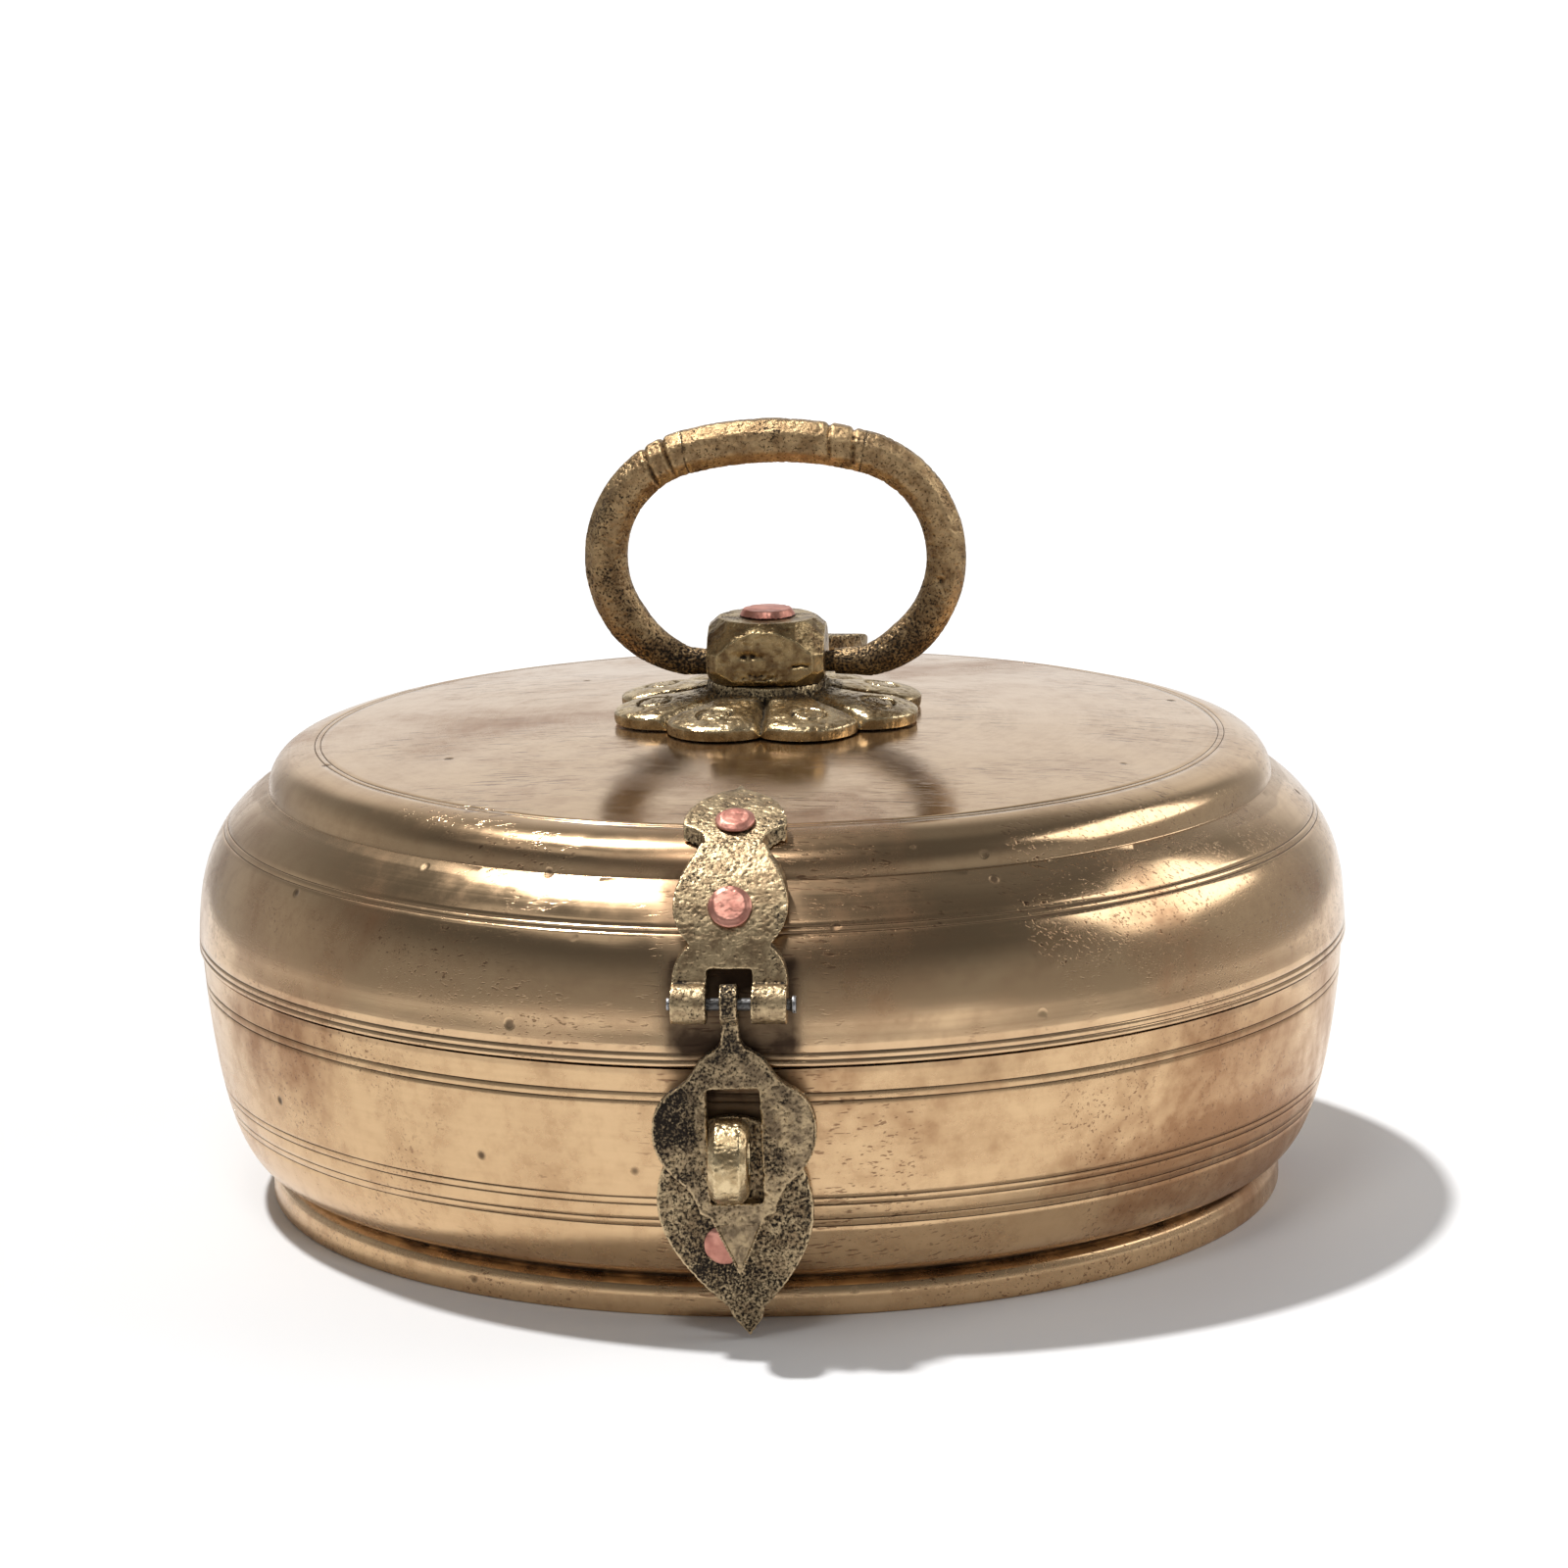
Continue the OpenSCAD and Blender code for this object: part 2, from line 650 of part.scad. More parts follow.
module hinge_lid_low_place() {
    translate([0, lid_leaf_face_y, hinge_lid_low_z]) rotate([-90, 0, 0]) children();
}

module hinge_lid_rivet_places() {
    square_to(bridge, hinge_head_rivet_at) children();
    hinge_lid_low_place() children();
}

module hinge_lid_rivets() {
    square_to(bridge, hinge_head_rivet_at) rivet(5.6);
    hinge_lid_low_place() rivet(4.9);
}

// Half outline of the rear plate's head, seen from above: x, distance out.
function lid_leaf_head() = concat(
    along([[0, bridge[0][0] + 1], [9, bridge[0][0] + 1], [16, bridge[0][0] + 7], [16, box_r - 24]], 8),
    along([[16, box_r - 24], [15, box_r - 18], [6.5, box_r - 19], [6.5, bridge_split]], 6)
);

// Half outline of the rear plate's body, seen from behind: x, height.
function lid_leaf_body() = concat(
    along([[6.5, 96.5], [7.5, 92], [12.5, 89], [12.5, 82]], 6),
    along([[12.5, 82], [12.5, 77], [8, 74], [8, 70]], 6),
    along([[8, 70], [8, 66], [hinge_w / 2, 66], [hinge_w / 2, 60]], 6),
    [[hinge_w / 2, 40], [0, 40]]
);

module hinge_lid_leaf() {
    wide = 40;
    color(cast_brass) difference() {
        intersection() {
            union() {
                rotate([90, 0, 90]) linear_extrude(wide, center = true) polygon(concat(
                    along(bridge, 14),
                    [[lid_leaf_face_y, hinge_lid_low_z + 4], [lid_leaf_face_y, lid_leaf_bottom]],
                    [[box_r - 4, lid_leaf_bottom], [box_r - 4, hinge_lid_low_z + 4]],
                    along(bridge, 14, -plate_t, 1, 0)
                ));
                intersection() {
                    outer_knuckle_span(centre_knuckle_w / 2 + knuckle_gap, hinge_w / 2);
                    union() {
                        hinge_barrel(hinge_w);
                        stop_lug();
                        rotate([90, 0, 90]) linear_extrude(wide, center = true) polygon([
                            [lid_leaf_face_y, 60], [hinge_y + 2, hinge_z + 2.6], [hinge_y, hinge_z],
                            [box_r + 1, hinge_z + 0.5], [box_r + 0.15, lid_leaf_bottom], [box_r + 0.15, 60]
                        ]);
                    }
                }
            }
            union() {
                translate([0, 0, 60]) linear_extrude(60) polygon(mirrored(lid_leaf_head()));
                intersection() {
                    rear_outline(mirrored(lid_leaf_body()));
                    translate([-wide / 2, bridge_split, 0]) cube([wide, 60, crown_z]);
                }
            }
        }
        lid_envelope(lay_gap);
        // room for the base's knuckle
        translate([-centre_knuckle_w / 2 - knuckle_gap, box_r - 5, 40])
            cube([centre_knuckle_w + 2 * knuckle_gap, 20, hinge_z + 4.2 - 40]);
        hinge_bore(pin_gap);
        hinge_lid_rivet_places() rivet_hole();
    }
}

// ---- Cups ----

// One cup stands in the middle, the others on a ring round it.
cup_ring_r = cup_d + cup_gap;
cup_step = 60;
cup_floor_r = cup_d / 2 - 7;

function cup_side() = [
    [cup_floor_r, 0], [cup_floor_r + 5, 1.5], [cup_d / 2 - 1, cup_h * 0.6], [cup_d / 2 - 0.8, cup_h - 1.6]
];

module cup(n) {
    angle = cup_step * (n - 2);
    out = n == 1 ? 0 : cup_ring_r;
    bead_r = 0.8;
    color(brass) translate([out * sin(angle), -out * cos(angle), floor_top_z + cup_rest_gap])
        rotate_extrude() {
            polygon(concat(
                [[0, 0]], along(cup_side(), 10), [[cup_d / 2 - 0.8, cup_h - bead_r]],
                [[cup_d / 2 - 0.8 - cup_t, cup_h - bead_r]], along(cup_side(), 10, cup_t, 1, 0), [[0, cup_t]]
            ));
            translate([cup_d / 2 - bead_r, cup_h - bead_r]) circle(r = bead_r, $fn = 24);
        }
}

base_bowl();
foot_ring();
staple_plate();
staple();
staple_plate_rivet();
hinge_base_leaf();
hinge_base_rivets();
hinge_pin();
lid_shell();
rosette();
handle_block();
handle_rivet();
handle_washer();
hasp_plate();
hasp_plate_rivets();
hasp_pin();
hinge_lid_leaf();
hinge_lid_rivets();
handle_ring();
hasp();
cup(1);  // cup_1
cup(2);  // cup_2
cup(3);  // cup_3
cup(4);  // cup_4
cup(5);  // cup_5
cup(6);  // cup_6
cup(7);  // cup_7
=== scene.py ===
import math

import bmesh
import bpy
import numpy as np
from mathutils import Euler, Matrix, Vector, noise


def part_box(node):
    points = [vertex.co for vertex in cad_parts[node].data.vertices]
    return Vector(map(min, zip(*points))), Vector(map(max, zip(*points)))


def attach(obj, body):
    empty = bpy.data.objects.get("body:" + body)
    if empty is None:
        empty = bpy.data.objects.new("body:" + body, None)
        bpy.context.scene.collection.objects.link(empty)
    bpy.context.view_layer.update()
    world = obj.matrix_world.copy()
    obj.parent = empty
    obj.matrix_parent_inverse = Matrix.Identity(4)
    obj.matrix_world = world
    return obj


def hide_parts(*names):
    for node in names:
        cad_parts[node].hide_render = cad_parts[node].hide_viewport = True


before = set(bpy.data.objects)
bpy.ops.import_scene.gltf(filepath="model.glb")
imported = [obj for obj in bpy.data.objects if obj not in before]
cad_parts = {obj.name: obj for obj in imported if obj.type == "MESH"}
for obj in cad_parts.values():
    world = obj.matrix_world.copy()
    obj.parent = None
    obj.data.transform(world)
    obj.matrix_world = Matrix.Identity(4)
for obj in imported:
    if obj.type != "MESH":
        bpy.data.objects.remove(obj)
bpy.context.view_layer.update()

# A round brass spice box: turned sheet-brass bodies, pitted castings and copper rivets, each of which stands
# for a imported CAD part. Lengths are in millimetres in the CAD frame until a mesh is made, and in metres from
# there on. Nothing is drawn at random: every pattern is Blender's noise at fixed places, so each run gives the
# same result.
MM = 0.001
# How far round to the right of the box's front the camera stands.
FRONT_TURN = math.radians(3.8)


# ---- Camera ----


def make_camera():
    """Stands in front of the box, a little to its right and above it, looking down at it."""
    out, height, aside = 1199.8 * MM, 331.6 * MM, 2.9 * MM
    pitch, roll = math.radians(11.66), math.radians(-0.9)
    camera = bpy.data.objects.new("camera", bpy.data.cameras.new("camera"))
    camera.data.sensor_width = 36
    camera.data.lens = 134.3
    side = Vector((math.cos(FRONT_TURN), math.sin(FRONT_TURN), 0))
    back = Vector((math.sin(FRONT_TURN), -math.cos(FRONT_TURN), 0))
    camera.location = back * out + side * aside + Vector((0, 0, height))
    aim = Euler((math.pi / 2 - pitch, 0, FRONT_TURN)).to_matrix() @ Matrix.Rotation(roll, 3, "Z")
    camera.rotation_euler = aim.to_euler()
    bpy.context.scene.collection.objects.link(camera)
    bpy.context.scene.camera = camera


make_camera()


# ---- Curves and fields ----


def bez(curve, count):
    """count + 1 points along a cubic curve given by its four points."""
    t = np.linspace(0, 1, count + 1)[:, None]
    a, b, c, d = (np.array(p, float) for p in curve)
    return (1 - t) ** 3 * a + 3 * (1 - t) ** 2 * t * b + 3 * (1 - t) * t * t * c + t ** 3 * d


def moved_off(points, distance):
    """The points moved to the left of their direction of travel."""
    step = np.gradient(points, axis=0)
    step /= np.linalg.norm(step, axis=1)[:, None]
    return points + distance * np.column_stack((-step[:, 1], step[:, 0]))


def soften(points, radius=0.35, turn=20):
    """Rounds the corners of an outline that turn by more than turn degrees."""
    points = [np.array(p, float) for p in points]
    points = points[:1] + [b for a, b in zip(points, points[1:]) if np.linalg.norm(b - a) > 1e-3]
    out = [points[0]]
    for before, here, after in zip(points, points[1:], points[2:]):
        a, b = before - here, after - here
        la, lb = np.linalg.norm(a), np.linalg.norm(b)
        bend = 180 - math.degrees(math.acos(np.clip(a @ b / (la * lb), -1, 1)))
        if bend < turn:
            out.append(here)
            continue
        r = min(radius, 0.45 * la, 0.45 * lb)
        start, end = here + a / la * r, here + b / lb * r
        out += [(1 - t) ** 2 * start + 2 * t * (1 - t) * here + t * t * end for t in (0, 1 / 3, 2 / 3, 1)]
    return np.array(out + [points[-1]])


def filled(points, step):
    """The outline with points added, so that none are further apart than step."""
    out = [points[0]]
    for a, b in zip(points, points[1:]):
        count = max(1, math.ceil(np.linalg.norm(b - a) / step))
        out += [a + (b - a) * i / count for i in range(1, count + 1)]
    return np.array(out)


def circle(angles):
    """Points on a circle of radius 1 round the origin, at height 0."""
    return np.column_stack((np.cos(angles), np.sin(angles), 0 * angles))


def field(points, size, seed):
    """Smooth noise from about -1 to 1 at each point, in blobs of about that size. Each seed has its pattern."""
    scaled = np.asarray(points) / size + seed * 7.31
    return np.array([noise.noise(p) for p in scaled.tolist()])


# ---- Meshes ----


def mesh_object(name, points, faces):
    """An object in the scene from points in millimetres."""
    mesh = bpy.data.meshes.new(name)
    mesh.from_pydata((np.asarray(points) * MM).tolist(), [], faces)
    piece = bpy.data.objects.new(name, mesh)
    bpy.context.scene.collection.objects.link(piece)
    return piece


def grid_faces(rows, columns, closed_rows=False):
    """Quads between the points of a grid whose columns run round and close."""
    last = rows if closed_rows else rows - 1
    k = np.arange(last)[:, None] * columns
    up = (np.arange(last)[:, None] + 1) % rows * columns
    j = np.arange(columns)[None, :]
    n = (j + 1) % columns
    return np.stack((k + j, k + n, up + n, up + j), -1).reshape(-1, 4).tolist()


def capped(faces, rows, columns):
    """Adds fans from two pole points, numbered after the grid, to its first and last rows."""
    first, last = rows * columns, rows * columns + 1
    top = (rows - 1) * columns
    for j in range(columns):
        n = (j + 1) % columns
        faces.append((first, n, j))
        faces.append((last, top + j, top + n))
    return faces


def spread(values, edges, times):
    """Blurs one value per vertex along the mesh's edges."""
    count = np.bincount(edges.ravel(), minlength=len(values)).clip(1)
    for _ in range(times):
        total = np.bincount(edges[:, 0], values[edges[:, 1]], len(values))
        total += np.bincount(edges[:, 1], values[edges[:, 0]], len(values))
        values = 0.4 * values + 0.6 * total / count
    return values


def read(mesh, kind, key, width, dtype=np.float32):
    """One property of all of a mesh's vertices or edges, as rows of that width."""
    out = np.empty(len(getattr(mesh, kind)) * width, dtype)
    getattr(mesh, kind).foreach_get(key, out)
    return out.reshape(-1, width)


def finish_surface(piece, hollow=1.0, ridge=1.0, soot_and_shade=None):
    """Stores how hollow, how exposed and how sooty or shaded each vertex is, and shades the piece smooth.
    The materials paint by the three values; the third is grime on some castings and painted shade on the box's
    bodies and the handle. It comes from a function of the points in millimetres."""
    mesh = piece.data
    co, normal = read(mesh, "vertices", "co", 3) / MM, read(mesh, "vertex_normals", "vector", 3)
    edges = read(mesh, "edges", "vertices", 2, np.int32)
    d = co[edges[:, 1]] - co[edges[:, 0]]
    length = (d * d).sum(1).clip(1e-6)
    bend = np.bincount(edges[:, 0], (normal[edges[:, 0]] * d).sum(1) / length, len(co))
    bend -= np.bincount(edges[:, 1], (normal[edges[:, 1]] * d).sum(1) / length, len(co))
    bend = spread(bend / np.bincount(edges.ravel(), minlength=len(co)).clip(1), edges, 2)
    # Darkness to paint: painted shade on the box's bodies and the handle's ends, grime on the other castings.
    dirt_and_shade = np.zeros(len(co)) if soot_and_shade is None else soot_and_shade(co)
    for name, value in (("hollow", bend * hollow), ("ridge", -bend * ridge), ("soot_and_shade", dirt_and_shade)):
        store = mesh.attributes.new(name, "FLOAT", "POINT")
        store.data.foreach_set("value", value.clip(-1, 1).astype(np.float32))
    mesh.shade_smooth()
    mesh.set_sharp_from_angle(angle=math.radians(50))


def placed(piece, body, material, slot, *nodes):
    """Gives a piece its material, lets it ride on a body and stand for its CAD nodes. slot is not used."""
    piece.data.materials.append(material)
    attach(piece, body)
    if nodes:
        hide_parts(*nodes)


# ---- Materials ----


class Paint:
    """A node material with one Principled shader."""

    def __init__(self, name, **values):
        self.material = bpy.data.materials.new(name)
        self.material.use_nodes = True
        self.tree = self.material.node_tree
        self.shader = self.tree.nodes["Principled BSDF"]
        for key, value in values.items():
            self.shader.inputs[key.replace("_", " ")].default_value = value
        self.place = self.add("ShaderNodeTexCoord").outputs["Object"]

    def put(self, node, key, value):
        if isinstance(value, bpy.types.NodeSocket):
            self.tree.links.new(value, node.inputs[key])
        else:
            node.inputs[key].default_value = value

    def add(self, kind, inputs=None, **settings):
        node = self.tree.nodes.new(kind)
        for key, value in settings.items():
            setattr(node, key, value)
        for key, value in (inputs or {}).items():
            self.put(node, key, value)
        return node

    def math(self, operation, a, b=0.0):
        return self.add("ShaderNodeMath", {0: a, 1: b}, operation=operation).outputs[0]

    def noise(self, scale, detail=3.0, place=None, roughness=0.55, distortion=0.0):
        inputs = {
            "Vector": place or self.place, "Scale": scale, "Detail": detail,
            "Roughness": roughness, "Distortion": distortion,
        }
        return self.add("ShaderNodeTexNoise", inputs).outputs[0]

    def ramp(self, value, low, high, start=0.0, end=1.0):
        inputs = {0: value, 1: low, 2: high, 3: start, 4: end}
        return self.add("ShaderNodeMapRange", inputs, interpolation_type="SMOOTHSTEP").outputs[0]

    def mix(self, share, a, b):
        node = self.add("ShaderNodeMix", data_type="RGBA")
        for key, value in ((0, share), (6, a), (7, b)):
            self.put(node, key, value)
        return node.outputs[2]

    def stretched(self, scale, turn=(0, 0, 0)):
        inputs = {"Vector": self.place, "Scale": scale, "Rotation": turn}
        return self.add("ShaderNodeMapping", inputs).outputs[0]

    def value(self, name):
        return self.add("ShaderNodeAttribute", attribute_name=name).outputs["Fac"]

    def bump(self, height, strength, distance, under=None):
        node = self.add("ShaderNodeBump", {"Height": height, "Strength": strength, "Distance": distance})
        if under is not None:
            self.put(node, "Normal", under)
        return node.outputs[0]

    def done(self, **links):
        for key, value in links.items():
            self.put(self.shader, key.replace("_", " "), value)
        return self.material


def turned_lines(paint, fine):
    """Noise drawn out into fine lines that run round the box, as turning and polishing leave them."""
    split = paint.add("ShaderNodeSeparateXYZ", {0: paint.place}).outputs
    x, y, z = split[0], split[1], split[2]
    radius = paint.math("SQRT", paint.math("ADD", paint.math("MULTIPLY", x, x), paint.math("MULTIPLY", y, y)))
    across = paint.math("MULTIPLY", paint.math("SUBTRACT", radius, z), fine)
    joined = paint.add("ShaderNodeCombineXYZ", {0: x, 1: y, 2: across}).outputs[0]
    return paint.noise(7.0, 4.0, joined)


SCRATCH_TURNS = ((0.3, 0.2, 0.5), (0.9, -0.5, 1.9), (-0.4, 1.1, 2.7), (0.1, 0.7, 3.6), (1.4, 0.3, 0.9))
SCRATCH_BROWN = (0.24, 0.13, 0.07, 1.0)
SHEET_BLACK = (0.05, 0.03, 0.02, 1.0)
CASTING_BLACK = (0.020, 0.013, 0.008, 1.0)
COPPER_BLACK = (0.05, 0.02, 0.015, 1.0)


def sheet_brass(name, colour, stain, rough, tarnish):
    """Polished, worn sheet brass: turning lines, stray scratches, specks, tarnish, painted shade and engraved
    lines.
    """
    paint = Paint(name, Metallic=1.0)
    lines = turned_lines(paint, 160.0)
    patches = paint.ramp(paint.noise(16.0, 5.0, distortion=0.6), 0.5, 0.72, 0.0, tarnish)
    cloud = paint.ramp(paint.noise(60.0, 6.0), 0.35, 0.75, 0.0, 0.35)
    mottle = paint.ramp(paint.noise(240.0, 6.0, roughness=0.7), 0.42, 0.68, 0.0, 0.22)
    stains = paint.math("ADD", patches, paint.math("MULTIPLY", paint.math("ADD", cloud, mottle), tarnish))
    speck = paint.add("ShaderNodeTexVoronoi", {"Vector": paint.place, "Scale": 95.0}).outputs["Distance"]
    chosen = paint.ramp(paint.noise(45.0, 2.0), 0.52, 0.6)
    pits = paint.math("MULTIPLY", paint.ramp(speck, 0.05, 0.13, 1.0, 0.0), chosen)
    scratch = None
    for count, turn in enumerate(SCRATCH_TURNS):
        drawn = paint.stretched((60.0 + 9 * count, 1500.0, 1100.0), turn)
        line = paint.ramp(paint.noise(1.0, 2.0, drawn), 0.66, 0.71)
        scratch = line if scratch is None else paint.math("MAXIMUM", scratch, line)
    scratch = paint.math("MULTIPLY", scratch, paint.ramp(paint.noise(30.0, 2.0), 0.42, 0.55))
    engraved = paint.ramp(paint.value("line"), 0.2, 0.9, 0.0, 0.85)
    hollow = paint.math("MAXIMUM", engraved, paint.ramp(paint.value("hollow"), 0.1, 0.6, 0.0, 0.22))
    clean = paint.mix(paint.ramp(lines, 0.3, 0.75, 0.0, 0.1), colour, stain)
    stained = paint.mix(stains, clean, stain)
    dark = paint.math("MAXIMUM", paint.math("MULTIPLY", pits, 0.8), hollow)
    # Painted shade round the front fittings, under the lid's edge and above the foot, broken up by the cloud.
    soot_and_shade = paint.math("MULTIPLY", paint.value("soot_and_shade"), paint.ramp(cloud, 0.0, 0.35, 0.75, 1.25))
    dark = paint.math("MAXIMUM", dark, paint.ramp(soot_and_shade, 0.1, 1.0, 0.0, 0.97))
    scored = paint.mix(paint.math("MULTIPLY", scratch, 0.8), stained, SCRATCH_BROWN)
    tint = paint.mix(dark, scored, SHEET_BLACK)
    roughness = paint.math("MULTIPLY", stains, 0.22)
    roughness = paint.math("ADD", roughness, paint.ramp(lines, 0.25, 0.8, rough, rough + 0.04))
    roughness = paint.math("ADD", roughness, paint.math("MULTIPLY", dark, 0.35))
    normal = paint.bump(lines, 0.02, 0.0002)
    normal = paint.bump(paint.math("MULTIPLY", scratch, -1.0), 0.3, 0.0001, normal)
    normal = paint.bump(paint.math("MULTIPLY", pits, -1.0), 0.5, 0.0003, normal)
    return paint.done(Base_Color=tint, Roughness=roughness, Normal=normal)


def cast_brass(name, bright, dull, grime=1.0, rough=0.34, grain=0.5, cover=0.4, speck=0.5):
    """Old sand-cast brass: blackened in patches, pits and hollows, rubbed bright on its edges.
    A lower cover gives more black patches, and a higher speck makes the fine specks blacker."""
    paint = Paint(name)
    hollow, ridge, soot_and_shade = paint.value("hollow"), paint.value("ridge"), paint.value("soot_and_shade")
    speckle = paint.noise(1900.0, 4.0, roughness=0.7)
    blotch = paint.noise(85.0, 5.0, distortion=0.5)
    skin = paint.noise(330.0, 4.0)
    black = paint.ramp(blotch, cover, cover + 0.24, 0.0, 0.75 * grime)
    # The stored darkness: grime on most castings, painted shade on the handle's lower ends.
    black = paint.math("ADD", black, paint.math("MULTIPLY", soot_and_shade, 0.9))
    dirt_and_shade = paint.math("MULTIPLY", black, paint.ramp(speckle, 0.36, 0.6, 0.35, 1.25))
    dirt_and_shade = paint.math("ADD", dirt_and_shade, paint.ramp(speckle, 0.52, 0.64, 0.0, speck))
    dirt_and_shade = paint.math("ADD", dirt_and_shade, paint.ramp(hollow, 0.06, 0.45, 0.0, 0.6))
    dirt_and_shade = paint.math("MULTIPLY", dirt_and_shade, paint.ramp(ridge, 0.08, 0.4, 1.0, 0.06))
    dirt_and_shade = paint.ramp(dirt_and_shade, 0.05, 1.05)
    metal = paint.mix(paint.ramp(skin, 0.35, 0.65), bright, dull)
    metal = paint.mix(paint.ramp(ridge, 0.05, 0.4), metal, bright)
    tint = paint.mix(dirt_and_shade, metal, CASTING_BLACK)
    roughness = paint.ramp(dirt_and_shade, 0.0, 1.0, rough, 0.7)
    roughness = paint.math("ADD", roughness, paint.ramp(speckle, 0.3, 0.7, 0.0, 0.12))
    roughness = paint.math("SUBTRACT", roughness, paint.ramp(ridge, 0.1, 0.5, 0.0, 0.14))
    normal = paint.bump(speckle, grain, 0.00018)
    normal = paint.bump(paint.noise(620.0, 3.0), 0.25, 0.0004, normal)
    return paint.done(
        Base_Color=tint, Roughness=roughness, Normal=normal, Metallic=paint.ramp(dirt_and_shade, 0.3, 1.0, 1.0, 0.5)
    )


def copper(name):
    """Hammered copper, pinkish, with a dull skin and dark at its edge."""
    paint = Paint(name)
    skin = paint.noise(380.0, 5.0)
    blotch = paint.noise(150.0, 3.0)
    tint = paint.mix(paint.ramp(skin, 0.35, 0.7), (0.70, 0.34, 0.26, 1.0), (0.50, 0.20, 0.15, 1.0))
    tint = paint.mix(paint.ramp(paint.value("hollow"), 0.1, 0.45, 0.0, 0.9), tint, COPPER_BLACK)
    normal = paint.bump(skin, 0.35, 0.0002)
    return paint.done(
        Base_Color=tint, Roughness=paint.ramp(blotch, 0.3, 0.7, 0.34, 0.5), Normal=normal,
        Metallic=paint.ramp(skin, 0.4, 0.8, 0.95, 0.7),
    )


def steel(name):
    """Drawn steel wire with a grey skin and bright cut ends."""
    paint = Paint(name, Metallic=1.0)
    skin = paint.noise(600.0, 4.0)
    tint = paint.mix(paint.ramp(skin, 0.3, 0.7), (0.13, 0.125, 0.12, 1.0), (0.05, 0.045, 0.04, 1.0))
    tint = paint.mix(paint.ramp(paint.value("ridge"), 0.1, 0.5), tint, (0.42, 0.42, 0.43, 1.0))
    drawn = paint.noise(1.0, 3.0, paint.stretched((80.0, 2500.0, 2500.0)))
    return paint.done(
        Base_Color=tint, Roughness=paint.ramp(skin, 0.3, 0.7, 0.38, 0.55),
        Normal=paint.bump(drawn, 0.3, 0.0001),
    )


BODY_BRASS = sheet_brass("body_brass", (0.70, 0.48, 0.27, 1.0), (0.40, 0.22, 0.11, 1.0), 0.2, 0.95)
LID_BRASS = sheet_brass("lid_brass", (0.73, 0.51, 0.30, 1.0), (0.42, 0.24, 0.13, 1.0), 0.13, 0.75)
CUP_BRASS = sheet_brass("cup_brass", (0.86, 0.65, 0.36, 1.0), (0.50, 0.33, 0.16, 1.0), 0.20, 0.35)
FITTING = cast_brass("cast_fitting", (0.58, 0.44, 0.26, 1.0), (0.30, 0.21, 0.12, 1.0), grime=0.9, cover=0.44)
LEAF = cast_brass("cast_leaf", (0.52, 0.39, 0.23, 1.0), (0.20, 0.145, 0.09, 1.0), grain=0.8, cover=0.38)
HANDLE = cast_brass(
    "cast_handle", (0.55, 0.38, 0.20, 1.0), (0.30, 0.19, 0.095, 1.0),
    grime=0.8, grain=0.9, cover=0.46, speck=0.75,
)
FILED = cast_brass(
    "filed_brass", (0.72, 0.56, 0.33, 1.0), (0.42, 0.30, 0.16, 1.0),
    grime=0.5, rough=0.24, grain=0.3, cover=0.5, speck=0.2,
)
BLOCK = cast_brass(
    "block_brass", (0.62, 0.46, 0.24, 1.0), (0.26, 0.17, 0.085, 1.0),
    grime=0.7, rough=0.26, grain=0.3, speck=0.2,
)
COPPER = copper("copper")
STEEL = steel("steel")


# ---- Turned pieces ----


# The usual depth and half width of an engraved line, how far its circle wavers, and its section from edge to
# edge as (half widths from the middle, share of the depth).
GROOVE_DEPTH, GROOVE_HALF, GROOVE_WAVER = 0.15, 0.19, 0.12
GROOVE_SECTION = ((-1, 0), (-0.45, 0.7), (0, 1), (0.45, 0.7), (1, 0))


